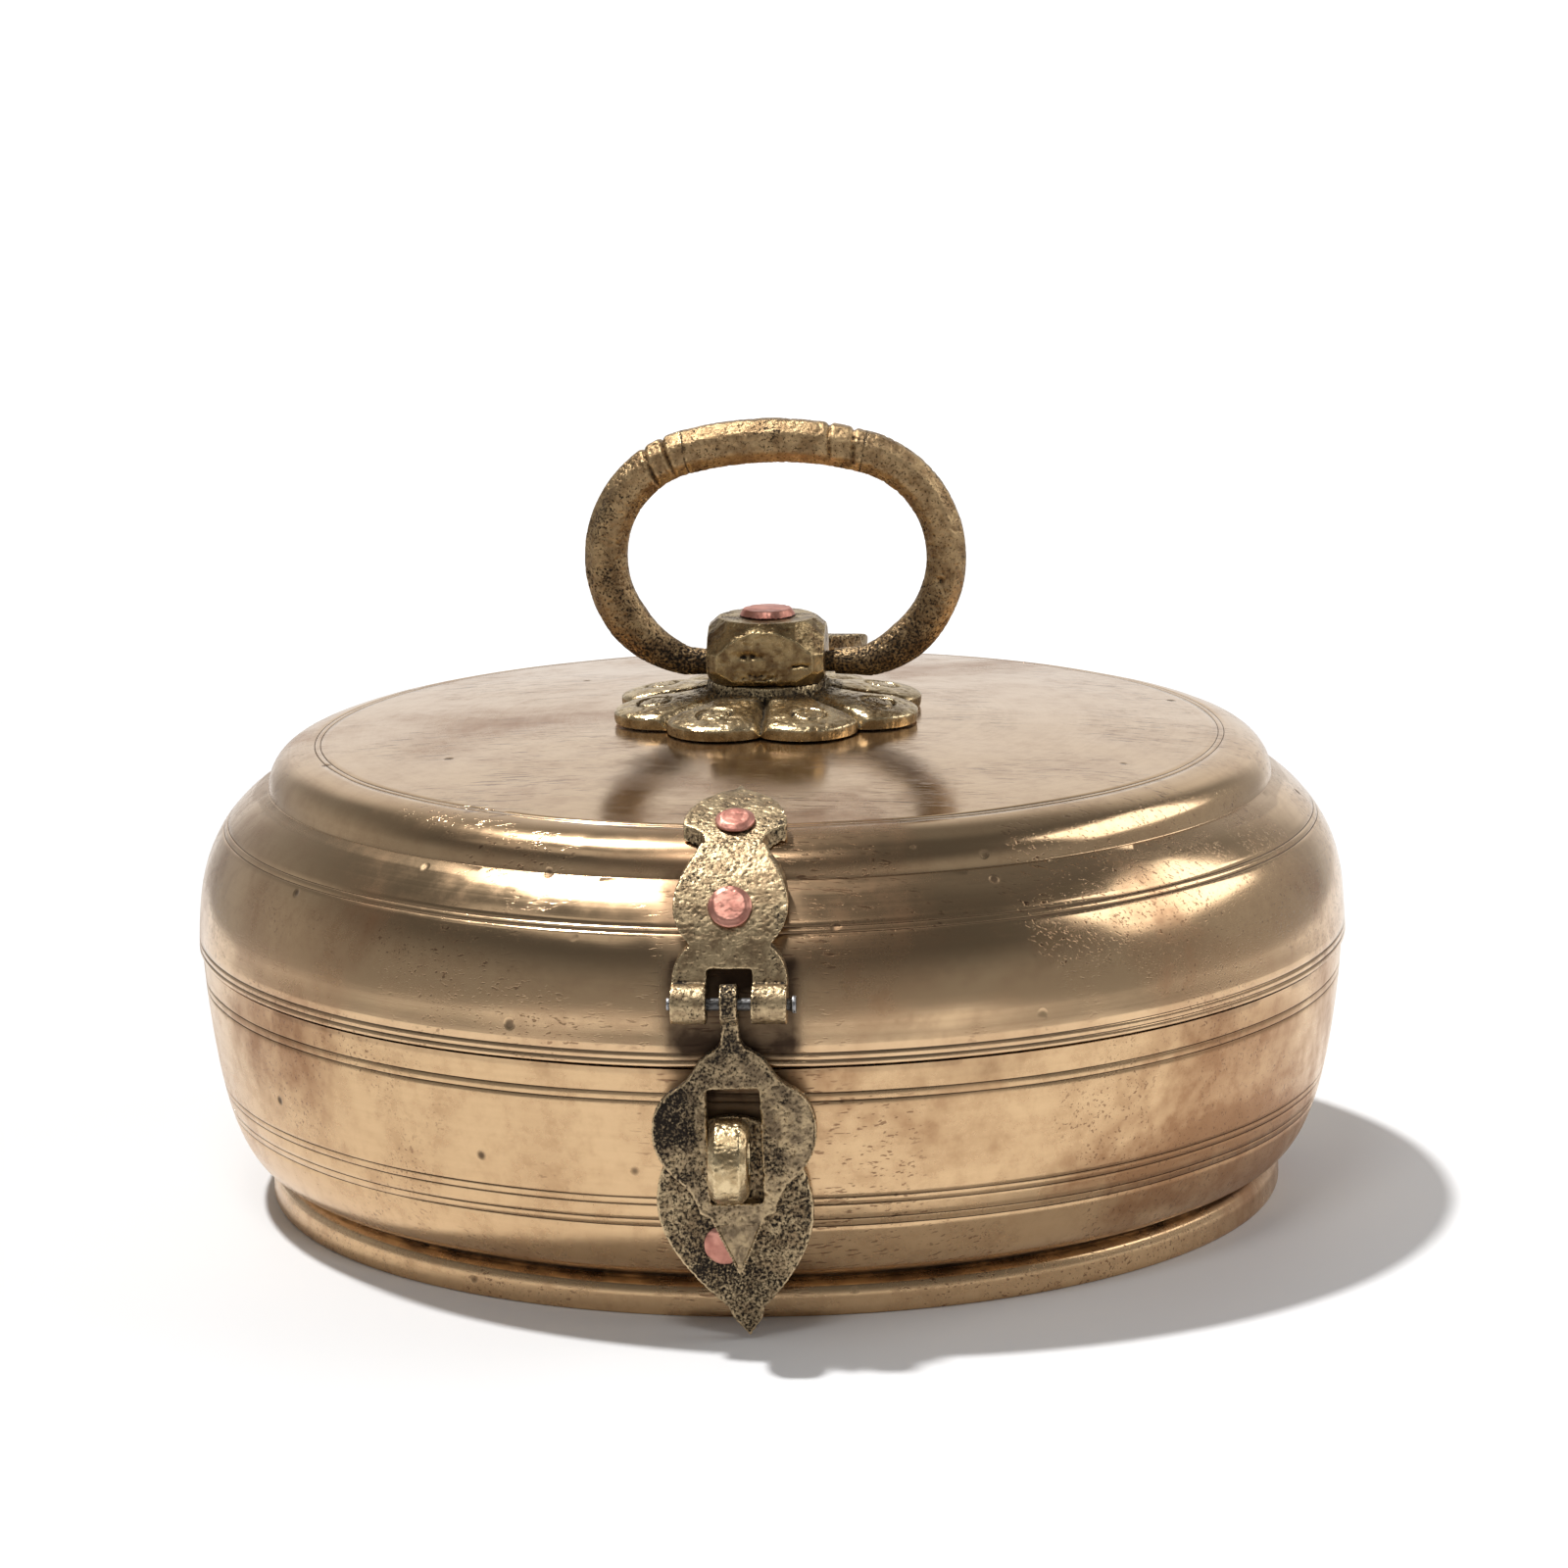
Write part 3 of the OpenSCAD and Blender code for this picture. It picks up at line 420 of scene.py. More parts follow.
def turned(name, outline, segments, grooves=(), dents=0.0, outer=None, loop=False, step=3.0):
    """A solid of revolution from an outline of radius and height, which starts at the axis unless it is a loop.
    grooves are (axis, value, after, depth, half width): an engraved line where radius (0) or height (1) passes
    value, past the share after of the outline. outer says from which share to which the outline lies outside.
    The dents push both skins the same way, and fade out towards either of those shares that isn't 0."""
    points = filled(soften(outline), step)
    if loop:
        points = points[:-1]
    length = np.concatenate(([0], np.cumsum(np.linalg.norm(np.diff(points, axis=0), axis=1))))
    marks = []
    for axis, value, after, depth, half in grooves:
        side = points[:, axis] - value
        passed = (side[:-1] * side[1:] <= 0) & (length[:-1] > after * length[-1])
        i = int(np.argmax(passed))
        share = side[i] / (side[i] - side[i + 1]) if side[i] != side[i + 1] else 0
        marks.append((length[i] + share * (length[i + 1] - length[i]), depth, half))
    at = [(s, 0.0, 0.0) for s in length if all(abs(s - m) > 1.3 * half for m, _, half in marks)]
    for m, depth, half in marks:
        at += [(m + half * offset, depth * cut, 1.0) for offset, cut in GROOVE_SECTION]
    at = np.array(sorted(at))
    if not loop:
        at = at[1:-1]
    along, engraved, wavers = at.T
    theta = np.arange(segments) * 2 * math.pi / segments
    ring = circle(theta)
    sway = field(ring, 0.35, 3) * GROOVE_WAVER
    s = along[:, None] + wavers[:, None] * sway[None, :]
    if loop:
        tangent = np.roll(points, -1, 0) - np.roll(points, 1, 0)
    else:
        tangent = np.gradient(points, length, axis=0)
    tangent /= np.linalg.norm(tangent, axis=1)[:, None]
    r, z = np.interp(s, length, points[:, 0]), np.interp(s, length, points[:, 1])
    nr, nz = np.interp(s, length, tangent[:, 1]), -np.interp(s, length, tangent[:, 0])
    cut = engraved[:, None] * (0.8 + 0.4 * field(ring, 0.2, 5))[None, :]
    r, z = r - nr * cut, z - nz * cut
    around = np.cos(theta)[None, :], np.sin(theta)[None, :]
    if dents:
        place = np.stack((r * around[0], r * around[1], z), -1).reshape(-1, 3)
        push = 0.55 * field(place, 48, 11) + 0.28 * field(place, 22, 12) + 0.07 * field(place, 9, 13)
        share = along / length[-1]
        way = np.where((share >= outer[0]) & (share <= outer[1]), 1, -1)
        to_end = np.min([abs(share - end) for end in outer if end > 0], axis=0) * length[-1]
        fade = np.clip(to_end / 6, 0, 1)[:, None]
        push = (push.reshape(r.shape) - 0.75) * dents * fade * way[:, None]
        r, z = r + nr * push, z + nz * push
    grid = np.stack((r * around[0], r * around[1], z), -1).reshape(-1, 3)
    faces = grid_faces(len(at), segments, loop)
    if not loop:
        grid = np.vstack((grid, [0, 0, points[0][1]], [0, 0, points[-1][1]]))
        faces = capped(faces, len(at), segments)
    piece = mesh_object(name, grid, faces)
    line = np.zeros(len(grid), np.float32)
    line[:len(at) * segments] = np.repeat(np.where(wavers > 0, engraved / GROOVE_DEPTH, 0), segments)
    store = piece.data.attributes.new("line", "FLOAT", "POINT")
    store.data.foreach_set("value", line.clip(0, 1))
    return piece


lid_low, lid_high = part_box("lid_shell")
FOOT_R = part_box("foot_ring")[1].x / MM
BOX_R = round(lid_high.x / MM)
SHEET = 1.7
LID_EDGE = lid_low.z / MM
CROWN = lid_high.z / MM
RIM = LID_EDGE - 0.3
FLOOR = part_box("base_bowl")[0].z / MM
DOME_R, DOME_RIM = BOX_R - 25, CROWN - 4.45

# The outer skins, as cubic curves of radius and height from the bottom up.
BASE_WALL = [(BOX_R - 12, 9.2), (BOX_R - 4.5, 13), (BOX_R - 1.5, 35), (BOX_R - 0.4, RIM)]
LID_WALL = [(BOX_R, LID_EDGE), (BOX_R + 0.2, 68), (BOX_R - 1.4, 78.5), (BOX_R - 15, 87)]
TOP_SIDE = [(BOX_R - 15.1, 87), (BOX_R - 15.4, 91.5), (BOX_R - 18.5, DOME_RIM - 0.75), (DOME_R, DOME_RIM)]


def dome(radius):
    """The height of the lid's slightly domed top at a radius."""
    return CROWN - (CROWN - DOME_RIM) * (radius / DOME_R) ** 2


def dome_points(count, drop=0.0):
    """The outline of the lid's top, from its rim to its middle."""
    radii = DOME_R * (1 - np.arange(count + 1) / count)
    return np.column_stack((radii, dome(radii) - drop))


def outside(co):
    """Which points lie on the outer skin of the walls, not the inner one."""
    wall = np.vstack((bez(BASE_WALL, 20), bez(LID_WALL, 20)))
    return np.hypot(co[:, 0], co[:, 1]) > np.interp(co[:, 2], wall[:, 1], wall[:, 0]) - 0.6


def shade_round_fittings(half_x, low_z, high_z, reach):
    """Painted shade on the wall behind and round the front fittings, which fades out over reach millimetres
    round them.
    """
    def soot_and_shade(co):
        off = np.maximum(abs(co[:, 0]) - half_x, 0) ** 2
        off += np.maximum(np.maximum(low_z - co[:, 2], co[:, 2] - high_z), 0) ** 2
        near = np.clip(1.15 - np.sqrt(off) / reach + 0.15 * field(co, 5, 73), 0, 1) ** 1.5
        return near * (co[:, 1] < -90) * outside(co)
    return soot_and_shade


def lid_painted_shade(co):
    """Painted shade behind the knuckles, and a warm halo of painted shade up the front plate."""
    return np.maximum(shade_round_fittings(11, 58, 73, 5)(co), 0.5 * shade_round_fittings(12, 60, 90, 6)(co))


def base_painted_shade(co):
    """Painted shade behind the hasp's slot and in the crease above the foot, and a painted shadow band just
    under the lid's edge along the seam.
    """
    # Painted shadow just under the lid's edge, and painted shade in the crease above the foot.
    seam = 0.3 * np.clip((co[:, 2] - RIM + 7) / 3, 0, 1) * (0.6 + 0.6 * field(co, 25, 71)).clip(0, 1.3)
    crease = 0.8 * np.clip((11 - co[:, 2]) / 3, 0, 1) * (np.hypot(co[:, 0], co[:, 1]) > BOX_R - 20)
    return np.maximum(shade_round_fittings(6, 22, 47, 8)(co), np.maximum(crease, seam * outside(co)))


def make_base():
    """The bowl with its floor, wall and collar. Pairs of lines are engraved round it."""
    wall = bez(BASE_WALL, 34)
    collar = BOX_R - 2.3
    outline = np.vstack((
        [(0, FLOOR), (BOX_R - 16.8, FLOOR), (BOX_R - 16, 7.6)], wall,
        [(collar, RIM), (collar, RIM + 4.1), (collar - 0.5, RIM + 4.6), (collar - 1.1, RIM + 4.6),
         (collar - 1.6, RIM + 4.1), (collar - 1.6, RIM - 4.4)],
        moved_off(wall, SHEET)[::-1][5:],
        [(BOX_R - 16.6, 7.6 + SHEET), (BOX_R - 17.6, FLOOR + SHEET), (0, FLOOR + SHEET)],
    ))
    lines = [(1, z, 0.2, GROOVE_DEPTH, GROOVE_HALF) for z in (20.4, 21.9, 25.0, 26.5, 46.4, 48.1)]
    shell = turned("base_body", outline, 640, lines, dents=0.42, outer=(0.0, 0.5), step=3.2)
    finish_surface(shell, hollow=0.8, soot_and_shade=base_painted_shade)
    placed(shell, "base", BODY_BRASS, "sheet_brass", "base_bowl")
    foot = [
        (FOOT_R - 3.7, 0), (FOOT_R - 0.3, 0), (FOOT_R, 0.8), (FOOT_R - 0.1, 4.6), (FOOT_R - 0.6, 5.9),
        (FOOT_R - 1.6, 6.9), (FOOT_R - 2.6, 7.2), (FOOT_R - 4.2, 7.2), (FOOT_R - 3.7, 0),
    ]
    ring = turned("foot_rim", foot, 480, loop=True, step=0.9)
    finish_surface(ring, hollow=0.5)
    placed(ring, "base", BODY_BRASS, "sheet_brass", "foot_ring")


def make_lid():
    """The domed lid: wall, shoulder, step and slightly domed top, with lines engraved round it."""
    wall, side = bez(LID_WALL, 30), bez(TOP_SIDE, 16)
    inner = np.vstack((
        [(BOX_R - SHEET, LID_EDGE)], moved_off(wall, SHEET)[1:], moved_off(side, SHEET)[1:-1],
        dome_points(24, SHEET),
    ))
    outline = np.vstack((inner[::-1], wall, side, dome_points(34)))
    lines = [(1, z, 0.495, GROOVE_DEPTH, GROOVE_HALF) for z in (54.9, 56.3, 78.6, 79.7)]
    lines += [(0, r, 0.6, GROOVE_DEPTH, 0.17) for r in (DOME_R - 0.2, DOME_R - 1.4)]
    shell = turned("lid_body", outline, 640, lines, dents=0.42, outer=(0.5, 1.0), step=3.4)
    finish_surface(shell, hollow=0.8, soot_and_shade=lid_painted_shade)
    placed(shell, "lid", LID_BRASS, "sheet_brass", "lid_shell")


def make_cups():
    """Seven loose cups with rolled rims, one in the middle and six round it."""
    bead, sheet = 0.8, 1.1
    for n in range(1, 8):
        low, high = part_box(f"cup_{n}")
        middle = (low + high) / 2
        radius, height = (high.x - low.x) / 2 / MM, (high.z - low.z) / MM
        side = bez([
            (radius - 7, 0), (radius - 2, 1.5), (radius - 1, height * 0.6), (radius - bead, height - 2 * bead)
        ], 16)
        roll = [
            (radius - bead + bead * math.cos(a), height - bead + bead * math.sin(a))
            for a in np.radians(np.arange(-40, 200, 24))
        ]
        outline = np.vstack(([(0, 0)], side, roll, moved_off(side, sheet)[::-1], [(0, sheet)]))
        lines = [(1, height * share, 0.2, 0.16, 0.3) for share in (0.62, 0.67)]
        cup = turned(f"cup_{n}_bowl", outline, 160, lines, step=1.8)
        cup.data.transform(Matrix.Translation((middle.x, middle.y, low.z)))
        finish_surface(cup, hollow=0.5)
        placed(cup, f"cup_{n}", CUP_BRASS, "cup_brass", f"cup_{n}")


make_base()
make_lid()
make_cups()


# ---- Castings: each is its CAD node's shape, remeshed finely, then pitted and worn ----


def remeshed(mesh, voxel, smooth):
    """A copy of a mesh in millimetres as an even, fine skin."""
    temp = bpy.data.objects.new("temp", mesh)
    bpy.context.scene.collection.objects.link(temp)
    skin = temp.modifiers.new("skin", "REMESH")
    skin.mode, skin.voxel_size = "VOXEL", voxel
    if smooth:
        soft = temp.modifiers.new("soft", "SMOOTH")
        soft.factor, soft.iterations = 0.5, smooth
    out = bpy.data.meshes.new_from_object(temp.evaluated_get(bpy.context.evaluated_depsgraph_get()))
    bpy.data.objects.remove(temp)
    return out


def cut_by(mesh, planes):
    """Slices pieces off a closed mesh: planes are (point, normal that points at what goes)."""
    work = bmesh.new()
    work.from_mesh(mesh)
    for point, normal in planes:
        geometry = work.verts[:] + work.edges[:] + work.faces[:]
        bmesh.ops.bisect_plane(work, geom=geometry, plane_co=point, plane_no=normal, clear_outer=True)
        bmesh.ops.holes_fill(work, edges=[e for e in work.edges if e.is_boundary])
    work.to_mesh(mesh)
    work.free()


def cast(
    node, body, material, slot, voxel=0.3, smooth=4, pits=0.2, pit_size=1.0, swell=0.12,
    planes=(), shape=None, carve=None, soot_and_shade=None,
):
    """A detailed casting that stands for a CAD node. planes slice pieces off it, shape moves its points, and
    carve gives a depth to take off at each point. The pits and the unevenness, swell, only go inwards too."""
    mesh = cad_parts[node].data.copy()
    mesh.transform(Matrix.Scale(1 / MM, 4))
    welded = bmesh.new()
    welded.from_mesh(mesh)
    bmesh.ops.remove_doubles(welded, verts=welded.verts, dist=1e-4)
    welded.to_mesh(mesh)
    welded.free()
    if planes:
        cut_by(mesh, planes)
    mesh = remeshed(mesh, voxel, smooth)
    co, normal = read(mesh, "vertices", "co", 3), read(mesh, "vertex_normals", "vector", 3)
    depth = pits * np.clip((field(co, pit_size, 21) - 0.12) * 2.2, 0, 1)
    depth += pits * 0.7 * np.clip((field(co, pit_size * 0.55, 22) - 0.18) * 2.4, 0, 1)
    depth += swell * (0.5 + 0.5 * field(co, 6.0, 23))
    if carve:
        depth += carve(co, normal)
    co = co - normal * depth[:, None]
    if shape:
        co = shape(co)
    mesh.vertices.foreach_set("co", (co * MM).astype(np.float32).ravel())
    mesh.update()
    mesh.name = f"{node}_casting"
    piece = bpy.data.objects.new(mesh.name, mesh)
    bpy.context.scene.collection.objects.link(piece)
    mesh.materials.clear()
    finish_surface(piece, 0.9, 0.8, soot_and_shade)
    placed(piece, body, material, slot, node)


def crooked_plate(co):
    """The staple plate's drawn-out tip leans to the right."""
    co = co.copy()
    co[:, 0] += 2.8 * np.clip((34 - co[:, 2]) / 33, 0, 1) ** 1.5
    return co


def hung_leaf(co):
    """The hasp hangs a little out of true on its worn pin."""
    pin_low, pin_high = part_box("hasp_pin")
    pin_z, tilt = (pin_low.z + pin_high.z) / 2 / MM, math.radians(1.5)
    x, z = co[:, 0], co[:, 2] - pin_z
    cos, sin = math.cos(tilt), math.sin(tilt)
    return np.column_stack((x * cos - z * sin, co[:, 1], pin_z + x * sin + z * cos))


def leaf_soot(co):
    """Darkest at the leaf's upper left, clean at its filed tip."""
    upper = np.clip(0.22 + (co[:, 2] - 40) / 90 - co[:, 0] / 45, 0, 0.6)
    return upper * np.clip((co[:, 2] - 17) / 9, 0, 1) - 0.7 * np.clip((25 - co[:, 2]) / 4, 0, 1)


def filed_bevel(low_z, high_z, side_x):
    """Depth that a file took off the right-hand edge of the hasp's face and off both sides of its tip."""
    def carve(co, normal):
        face = np.clip((-normal[:, 1] - 0.5) * 3, 0, 1)
        edge = np.clip((co[:, 0] - side_x) / 4, 0, 1) * (co[:, 2] > low_z) * (co[:, 2] < high_z)
        tip = np.clip(1 - abs(co[:, 0]) / (0.3 + (co[:, 2] - 13.5).clip(0) * 0.42), 0, 1) * (co[:, 2] < 25)
        return face * (0.5 * edge + 0.7 * (1 - tip) * (co[:, 2] < 24))
    return carve


def block_planes():
    """The cuts that leave an arched face on each side of the handle's block and take off its lower corners."""
    low, high = (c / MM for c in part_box("handle_block"))
    half = -low.y
    out = []
    for quarter in range(4):
        turn = Matrix.Rotation(quarter * math.pi / 2, 3, "Z")
        for x in (0, -4.5, 4.5, -8, 8, -11, 11):
            arch = high.z - 1.7 - 6.5 * (x / half) ** 2
            out.append((turn @ Vector((x, low.y, arch)), turn @ Vector((0.09 * x, -0.85, 1))))
        for side in (-1, 1):
            corner = Vector((side * (half - 2.6), low.y + 0.6, low.z + 1.6))
            out.append((turn @ corner, turn @ Vector((side * 0.6, -0.4, -0.7))))
    return out


def scar_depth(co):
    """Two rough cracks and a pitted patch, which the casting left on the block's front face."""
    ragged = field(co, 1.3, 31)
    crack = np.exp(-((co[:, 2] - 113.4 - 0.5 * field(co, 3.0, 32)) / 0.5) ** 2)
    crack *= np.clip(1.2 - abs(co[:, 0] + 3.7) / 3.4, 0, 1) * np.clip(0.7 + ragged, 0, 1)
    nick = np.exp(-((co[:, 2] - 111.2 - 0.3 * field(co, 2.0, 34)) / 0.3) ** 2) * (abs(co[:, 0] - 7.4) < 1.8)
    patch = np.clip(1.3 - abs(co[:, 0] + 1) / 5, 0, 1) * np.clip(1.3 - abs(co[:, 2] - 108.7) / 1.3, 0, 1)
    return 0.9 * crack + 0.6 * nick + 0.5 * patch * np.clip(field(co, 0.7, 33) + 0.4, 0, 1)


def block_scars(co, normal):
    """The scars, on the front face only."""
    return np.clip((-normal[:, 1] - 0.6) * 4, 0, 1) * scar_depth(co)


def block_soot(co):
    """Black in the scars, and clean on the filed front face."""
    front = co[:, 1] < -10.6
    return np.where(front, 1.6 * scar_depth(co) - 0.35, 0.1)


def worn_head(co, normal):
    """Ragged, hammered copper."""
    return 0.08 + 0.07 * field(co, 1.6, 41) + 0.08 * field(co, 3.4, 42)


def make_castings():
    """The fittings, the handle's block, the rivets, the pins and the washer."""
    cast(
        "staple_plate", "base", FITTING, "cast_brass", voxel=0.26, pits=0.24, pit_size=0.8,
        shape=crooked_plate, soot_and_shade=lambda co: 0.55 + 0.35 * field(co, 12, 72),
    )
    cast("staple", "base", FILED, "cast_brass", voxel=0.24, pits=0.12, smooth=6, swell=0.2)
    cast("hasp_plate", "lid", FITTING, "cast_brass", voxel=0.26, pits=0.15, pit_size=0.75)
    cast(
        "hasp", "hasp", LEAF, "cast_brass", voxel=0.26, pits=0.26, pit_size=0.75,
        shape=hung_leaf, carve=filed_bevel(27, 58, 11.5), soot_and_shade=leaf_soot,
    )
    cast("hinge_base_leaf", "base", FITTING, "cast_brass")
    cast("hinge_lid_leaf", "lid", FITTING, "cast_brass", voxel=0.34)
    cast(
        "handle_block", "lid", BLOCK, "cast_brass", voxel=0.26, smooth=2, pits=0.08,
        planes=block_planes(), carve=block_scars, soot_and_shade=block_soot,
    )
    for node, body in (
        ("staple_plate_rivet", "base"), ("hinge_base_rivets", "base"), ("hasp_plate_rivets", "lid"),
        ("hinge_lid_rivets", "lid"), ("handle_rivet", "lid"),
    ):
        cast(node, body, COPPER, "copper_rivet", voxel=0.2, smooth=3, pits=0.05, swell=0, carve=worn_head)
    # The hasp's pin ends level with the left knuckle.
    flush = [(Vector((-11.9, 0, 0)), Vector((-1, 0, 0)))]
    for node, body, planes in (("hasp_pin", "lid", flush), ("hinge_pin", "base", ())):
        cast(node, body, STEEL, "steel_pin", voxel=0.18, smooth=2, pits=0.04, swell=0.04, planes=planes)
    cast("handle_washer", "lid", CUP_BRASS, "cup_brass", voxel=0.25, pits=0.05)


make_castings()


# ---- Rosette ----


def make_rosette():
    """Eight pillowed petals, each with a ring cut in it and file lines inside the ring."""
    hub_z = (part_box("rosette")[1] / MM).z
    petals, petal_r, hub_r = 8, 11.5, 12.6
    petal_x, mark_x, mark_r = 33.2 - petal_r, 25.2, 3.3
    lift = 0.06
    half_step = math.pi / petals
    columns, rows = 720, 84
    phi = np.arange(columns) * 2 * math.pi / columns
    part = (phi % (2 * half_step)) - half_step
    rim = petal_x * np.cos(part) + np.sqrt(petal_r ** 2 - (petal_x * np.sin(part)) ** 2)
    rim = rim + 0.22 * field(circle(phi), 0.3, 51)
    top = [(0, 0), (hub_r, 0), (hub_r + 0.3, -1.4), (15, -1.8), (25, -2.9), (33.5, -4.6)]
    top = np.array(top) + [0, hub_z]
    share = np.linspace(0.3, 1, rows)[:, None]
    r = rim[None, :] * share
    z = np.interp(r, top[:, 0], top[:, 1])
    z = np.where(r < hub_r, hub_z, z)
    side = np.abs(part)[None, :] / half_step
    z = z - 1.0 * side ** 3 * np.clip((r - 13) / 5, 0, 1)
    z = z - 0.7 * np.exp(-(rim[None, :] - r) / 0.8)
    between = r * np.sin(half_step - np.abs(part)[None, :])
    z = z - 1.7 * np.exp(-(between / 0.9) ** 2) * (r > hub_r + 0.3)
    x, y = r * np.cos(part)[None, :] - mark_x, r * np.sin(part)[None, :]
    ring = np.hypot(x, y)
    z = z - 0.8 * np.exp(-((ring - mark_r) / 0.42) ** 2)
    z = z - 0.18 * (0.5 + 0.5 * np.cos(x * 2 * math.pi / 0.95)) * (ring < 2.7)
    z = np.where((r > hub_r) | (z < hub_z), z, hub_z)
    place = np.stack((r * np.cos(phi), r * np.sin(phi), z), -1).reshape(-1, 3)
    worn = 0.16 * np.clip(field(place, 1.0, 52) * 2, 0, 1) + 0.12 * field(place, 5, 53) + 0.1
    z = z - worn.reshape(z.shape)
    filed = 0.14 * field(circle(phi) * rim[:, None], 0.5, 54)
    soot_and_shade = np.exp(-(between / 1.3) ** 2) * (r > hub_r) + 0.9 * np.exp(-((ring - mark_r) / 0.5) ** 2)
    soot_and_shade = np.maximum(soot_and_shade, np.clip((17.5 - r) / 2.5, 0, 1)) - 0.25
    layers = [(r, z)]
    foot = dome(rim) + lift
    for k in range(1, 7):
        down = k / 7
        edge = (rim + filed * min(1, 3 * down)) - 0.25 * down ** 2
        height = z[-1] * (1 - down) + foot * down
        layers.append((edge[None, :], height[None, :]))
    for inward in (1.0, 0.85, 0.6, 0.3):
        under = rim[None, :] * inward - 0.25
        layers.append((under, dome(under) + lift))
    r_all = np.vstack([a for a, _ in layers])
    z_all = np.vstack([b for _, b in layers])
    points = np.stack((r_all * np.cos(phi), r_all * np.sin(phi), z_all), -1).reshape(-1, 3)
    points = np.vstack((points, [0, 0, hub_z - 0.3], [0, 0, dome(0) + lift]))
    faces = [f[::-1] for f in capped(grid_faces(len(r_all), columns), len(r_all), columns)]
    piece = mesh_object("rosette_casting", points, faces)
    sides = np.full(len(points) - soot_and_shade.size, 0.25)
    finish_surface(piece, 0.55, 0.7, lambda co: np.concatenate((soot_and_shade.ravel(), sides)))
    placed(piece, "lid", FILED, "cast_brass", "rosette")


make_rosette()


# ---- Handle ----


# The height of the handle's axis, and where its bar ends at the right and left of the block.
PIVOT, RIGHT_END, LEFT_END = 110.2, 14.0, -12.45


def ring_line():
    """The handle's centre line, from its right end over the top to its left end, and the height of its middle.
    Two arcs of radius end_r make its sides and one of radius top_r its top, all shifted aside to the right."""
    top, end_r, end_x, top_r, aside = 156.7, 22.8, 12.6, 72.0, 2.0
    middle = PIVOT + 22.1
    join = math.acos(end_x / (top_r - end_r))
    low = math.radians(74)
    out = [(RIGHT_END, PIVOT)]
    for x, z, r, start, end in (
        (end_x, middle, end_r, -low, join), (0, top - top_r, top_r, join, math.pi - join),
        (-end_x, middle, end_r, math.pi - join, math.pi + low),
    ):
        out += [(x + aside + r * math.cos(a), z + r * math.sin(a)) for a in np.linspace(start, end, 60)]
    return filled(np.array(out + [(LEFT_END, PIVOT)]), 0.32), middle


def make_ring():
    """The drop handle: a stout oval bar that tapers to its ends, flat in front, with two pairs of file cuts."""
    centre, middle = ring_line()
    bar, peg_r, peg_tip, peg_overlap = 4.55, 2.15, 6.1, 1.5
    step = np.gradient(centre, axis=0).T
    step = np.column_stack([np.convolve(np.pad(line, 4, "edge"), np.ones(9) / 9, "valid") for line in step])
    heading = np.column_stack((step[:, 1], -step[:, 0])) / np.linalg.norm(step, axis=1)[:, None]
    around = 96
    phi = np.arange(around) * 2 * math.pi / around
    taper = np.interp(abs(centre[:, 0]), [13.5, 18.8, 24, 29], [0.6, 0.7, 0.86, 1.0])
    radius = bar * np.where(centre[:, 1] < middle, taper, 1.0)
    radius = radius * np.interp(centre[:, 0], [-34, 0, 34], [1.02, 1.04, 0.95])
    flat = np.clip(0.55 + 0.6 * (centre[:, 1] - middle) / 24, 0, 1)[:, None]
    filed = np.radians((0, 38, 90, 142, 180, 225, 270, 315))
    facets = 0.965 / np.cos(phi[:, None] - filed[None, :]).max(1)
    section = radius[:, None] * (1 - flat + np.minimum(facets, 1.03)[None, :] * flat)
    ring = np.stack((
        centre[:, None, 0] + heading[:, None, 0] * section * np.cos(phi),
        -section * np.sin(phi),
        centre[:, None, 1] + heading[:, None, 1] * section * np.cos(phi),
    ), -1)
    points = ring.reshape(-1, 3)
    normal = np.stack((
        heading[:, None, 0] * np.cos(phi),
        np.broadcast_to(-np.sin(phi), section.shape),
        heading[:, None, 1] * np.cos(phi),
    ), -1).reshape(-1, 3)
    x, z = points[:, 0], points[:, 2]
    depth = 0.2 * np.clip((field(points, 0.8, 61) - 0.1) * 2.2, 0, 1)
    fine = 0.12 * np.clip((field(points, 0.5, 62) - 0.12) * 2.4, 0, 1)
    depth += fine + 0.22 * (0.5 + 0.5 * field(points, 5, 63))
    shown = np.clip(0.5 + 1.2 * (normal[:, 2] - normal[:, 1]), 0, 1) * (z > middle + 6)
    # The file cuts, in two pairs across the top and the front, and one larger casting hole low at the right.
    cut_depth, cut_half = 0.7, 0.42
    for at, slant in ((-25.6, 0.45), (-20.9, 0.4), (13.5, 0.0), (18.5, -0.05)):
        depth += cut_depth * np.exp(-((x - at - slant * (156 - z)) / cut_half) ** 2) * shown
    hole = np.hypot(x - 36.2, z - 127.5) + 4 * (normal[:, 1] > -0.5)
    depth += 0.8 * np.exp(-(hole / 0.8) ** 2)
    points = points - normal * depth[:, None]
    ends = [(centre[0][0], 0, centre[0][1]), (centre[-1][0], 0, centre[-1][1])]
    faces = capped(grid_faces(len(centre), around), len(centre), around)
    piece = mesh_object("handle_ring_casting", np.vstack((points, ends)), faces)
    pegs = bmesh.new()
    pegs.from_mesh(piece.data)
    lying = Matrix.Rotation(math.pi / 2, 4, "Y")
    for side, end in ((1, RIGHT_END), (-1, -LEFT_END)):
        middle_x = side * (peg_tip + end + peg_overlap) / 2
        bmesh.ops.create_cone(
            pegs, cap_ends=True, segments=40, radius1=peg_r * MM, radius2=peg_r * MM,
            depth=(end + peg_overlap - peg_tip) * MM,
            matrix=Matrix.Translation(Vector((middle_x, 0, PIVOT)) * MM) @ lying,
        )
    bmesh.ops.recalc_face_normals(pegs, faces=pegs.faces)
    pegs.to_mesh(piece.data)
    pegs.free()
    # Painted shade on the ring's lower ends, where they go into the block.
    finish_surface(piece, 0.9, 0.8, lambda co: np.clip(1.2 - (co[:, 2] - PIVOT) / 9, 0, 1) * 0.8)
    placed(piece, "handle", HANDLE, "cast_brass", "handle_ring")


make_ring()


# ---- Floor, sky and lights ----


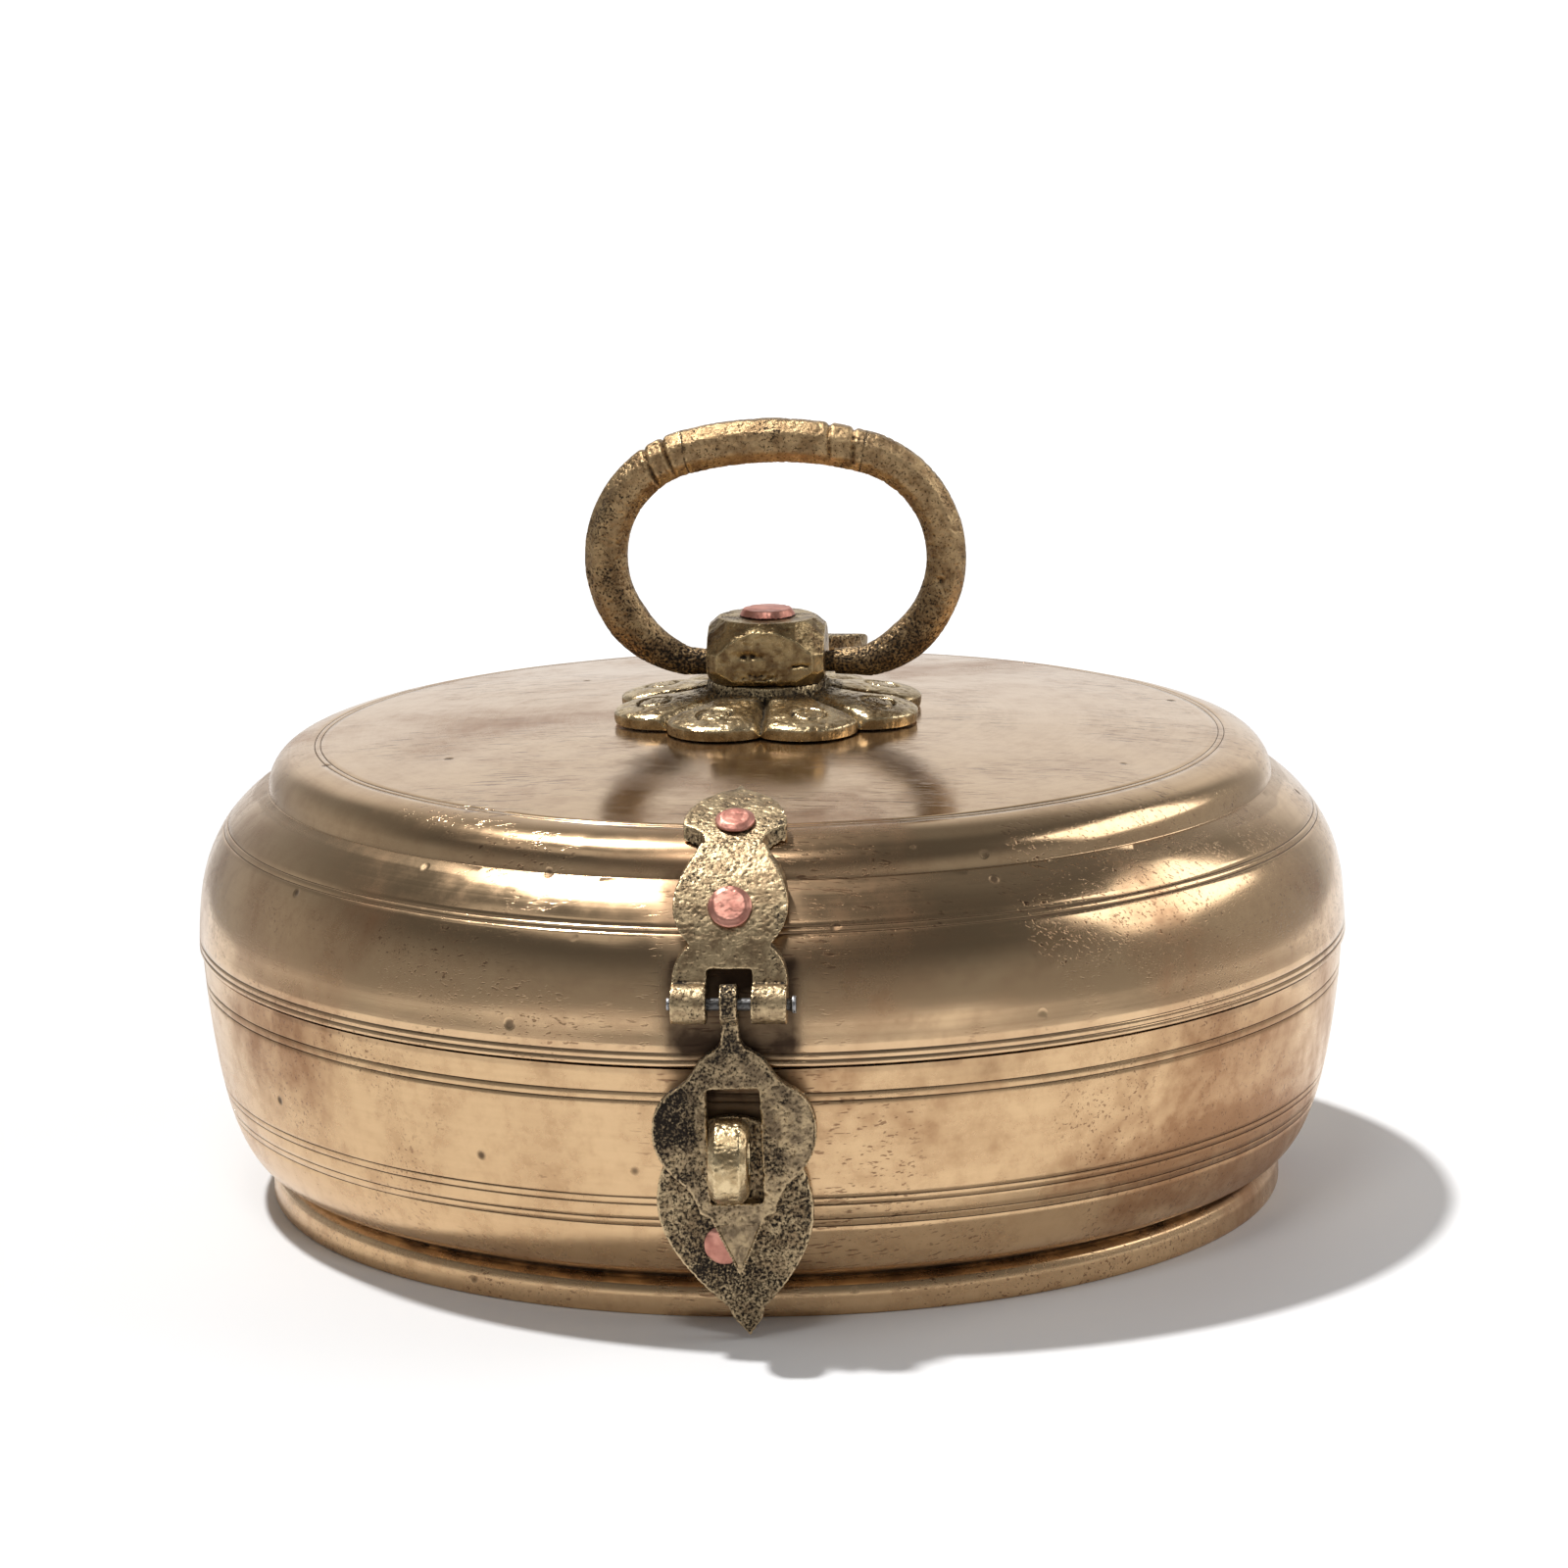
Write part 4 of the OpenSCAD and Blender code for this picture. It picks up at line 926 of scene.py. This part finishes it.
def make_floor():
    """A plain, nearly white sheet, a hair under the foot. It ends not far from the box, so that the metal has
    something darker than the sheet to show."""
    mesh = bpy.data.meshes.new("floor")
    corners = [(-0.6, -0.8), (0.6, -0.8), (0.32, 0.5), (-0.32, 0.5)]
    mesh.from_pydata([(x, y, -0.02 * MM) for x, y in corners], [], [(0, 1, 2, 3)])
    floor = bpy.data.objects.new("floor", mesh)
    bpy.context.scene.collection.objects.link(floor)
    paint = Paint("floor", Roughness=0.6)
    cloudy = paint.ramp(paint.noise(3.0, 3.0), 0.3, 0.7)
    shade = paint.mix(cloudy, (0.91, 0.91, 0.91, 1.0), (0.895, 0.895, 0.90, 1.0))
    mesh.materials.append(paint.done(Base_Color=shade))


def make_world():
    """Plain white to the camera. What lights the box is bright low down behind it and dim elsewhere, so that
    the metal has dark to show."""
    world = bpy.data.worlds.new("studio")
    bpy.context.scene.world = world
    world.use_nodes = True
    nodes, links = world.node_tree.nodes, world.node_tree.links
    background = nodes["Background"]
    background.inputs["Color"].default_value = (1.0, 1.0, 1.0, 1.0)
    split = nodes.new("ShaderNodeSeparateXYZ")
    links.new(nodes.new("ShaderNodeTexCoord").outputs["Generated"], split.inputs[0])

    def ramp(value, low, high, start, end):
        node = nodes.new("ShaderNodeMapRange")
        node.interpolation_type = "SMOOTHSTEP"
        links.new(value, node.inputs[0])
        for key, number in zip((1, 2, 3, 4), (low, high, start, end)):
            node.inputs[key].default_value = number
        return node.outputs[0]

    def both(operation, a, b):
        node = nodes.new("ShaderNodeMath")
        node.operation = operation
        for key, value in enumerate((a, b)):
            if isinstance(value, bpy.types.NodeSocket):
                links.new(value, node.inputs[key])
            else:
                node.inputs[key].default_value = value
        return node.outputs[0]

    x, y, z = split.outputs
    behind = both("MULTIPLY", ramp(y, -0.1, 0.35, 0.0, 1.0), ramp(z, 0.45, 0.8, 1.0, 0.15))
    middle = ramp(both("ABSOLUTE", x, 0.0), 0.3, 0.55, 0.62, 0.1)
    light = both("ADD", both("MULTIPLY", behind, middle), ramp(z, 0.1, 0.6, 0.3, 0.1))
    seen = nodes.new("ShaderNodeLightPath").outputs["Is Camera Ray"]
    seen_strength = 1.15
    links.new(both("MAXIMUM", light, both("MULTIPLY", seen, seen_strength)), background.inputs["Strength"])


def area_light(name, target, azimuth, elevation, distance, size, power):
    """A softbox at an azimuth (0 in front, 90 to the right) and an elevation round a target."""
    light = bpy.data.lights.new(name, "AREA")
    light.shape, light.size, light.size_y = "RECTANGLE", size[0], size[1]
    light.energy = power
    lamp = bpy.data.objects.new(name, light)
    a, e = math.radians(azimuth), math.radians(elevation)
    away = Vector((math.sin(a) * math.cos(e), -math.cos(a) * math.cos(e), math.sin(e)))
    lamp.location = Vector(target) + away * distance
    lamp.rotation_euler = away.to_track_quat("Z", "Y").to_euler()
    lamp.visible_camera = False
    bpy.context.scene.collection.objects.link(lamp)


def make_lights():
    """One sun, which throws the shadow, and three softboxes, which the metal shows."""
    sun = bpy.data.lights.new("key", "SUN")
    sun.energy, sun.angle = 2.75, math.radians(3.5)
    lamp = bpy.data.objects.new("key", sun)
    away = Vector((-0.32, 0.19, 0.93))
    lamp.rotation_euler = away.to_track_quat("Z", "Y").to_euler()
    bpy.context.scene.collection.objects.link(lamp)
    middle = (0, 0, 0.07)
    area_light("right_box", middle, 100, 32, 1.3, (0.95, 0.6), 4.6)
    area_light("front_box", middle, -8, 57, 1.3, (0.32, 0.2), 2.2)
    area_light("left_box", middle, -55, 50, 1.4, (0.9, 0.35), 0.5)


make_floor()
make_world()
make_lights()
bpy.context.scene.view_settings.view_transform = "Standard"
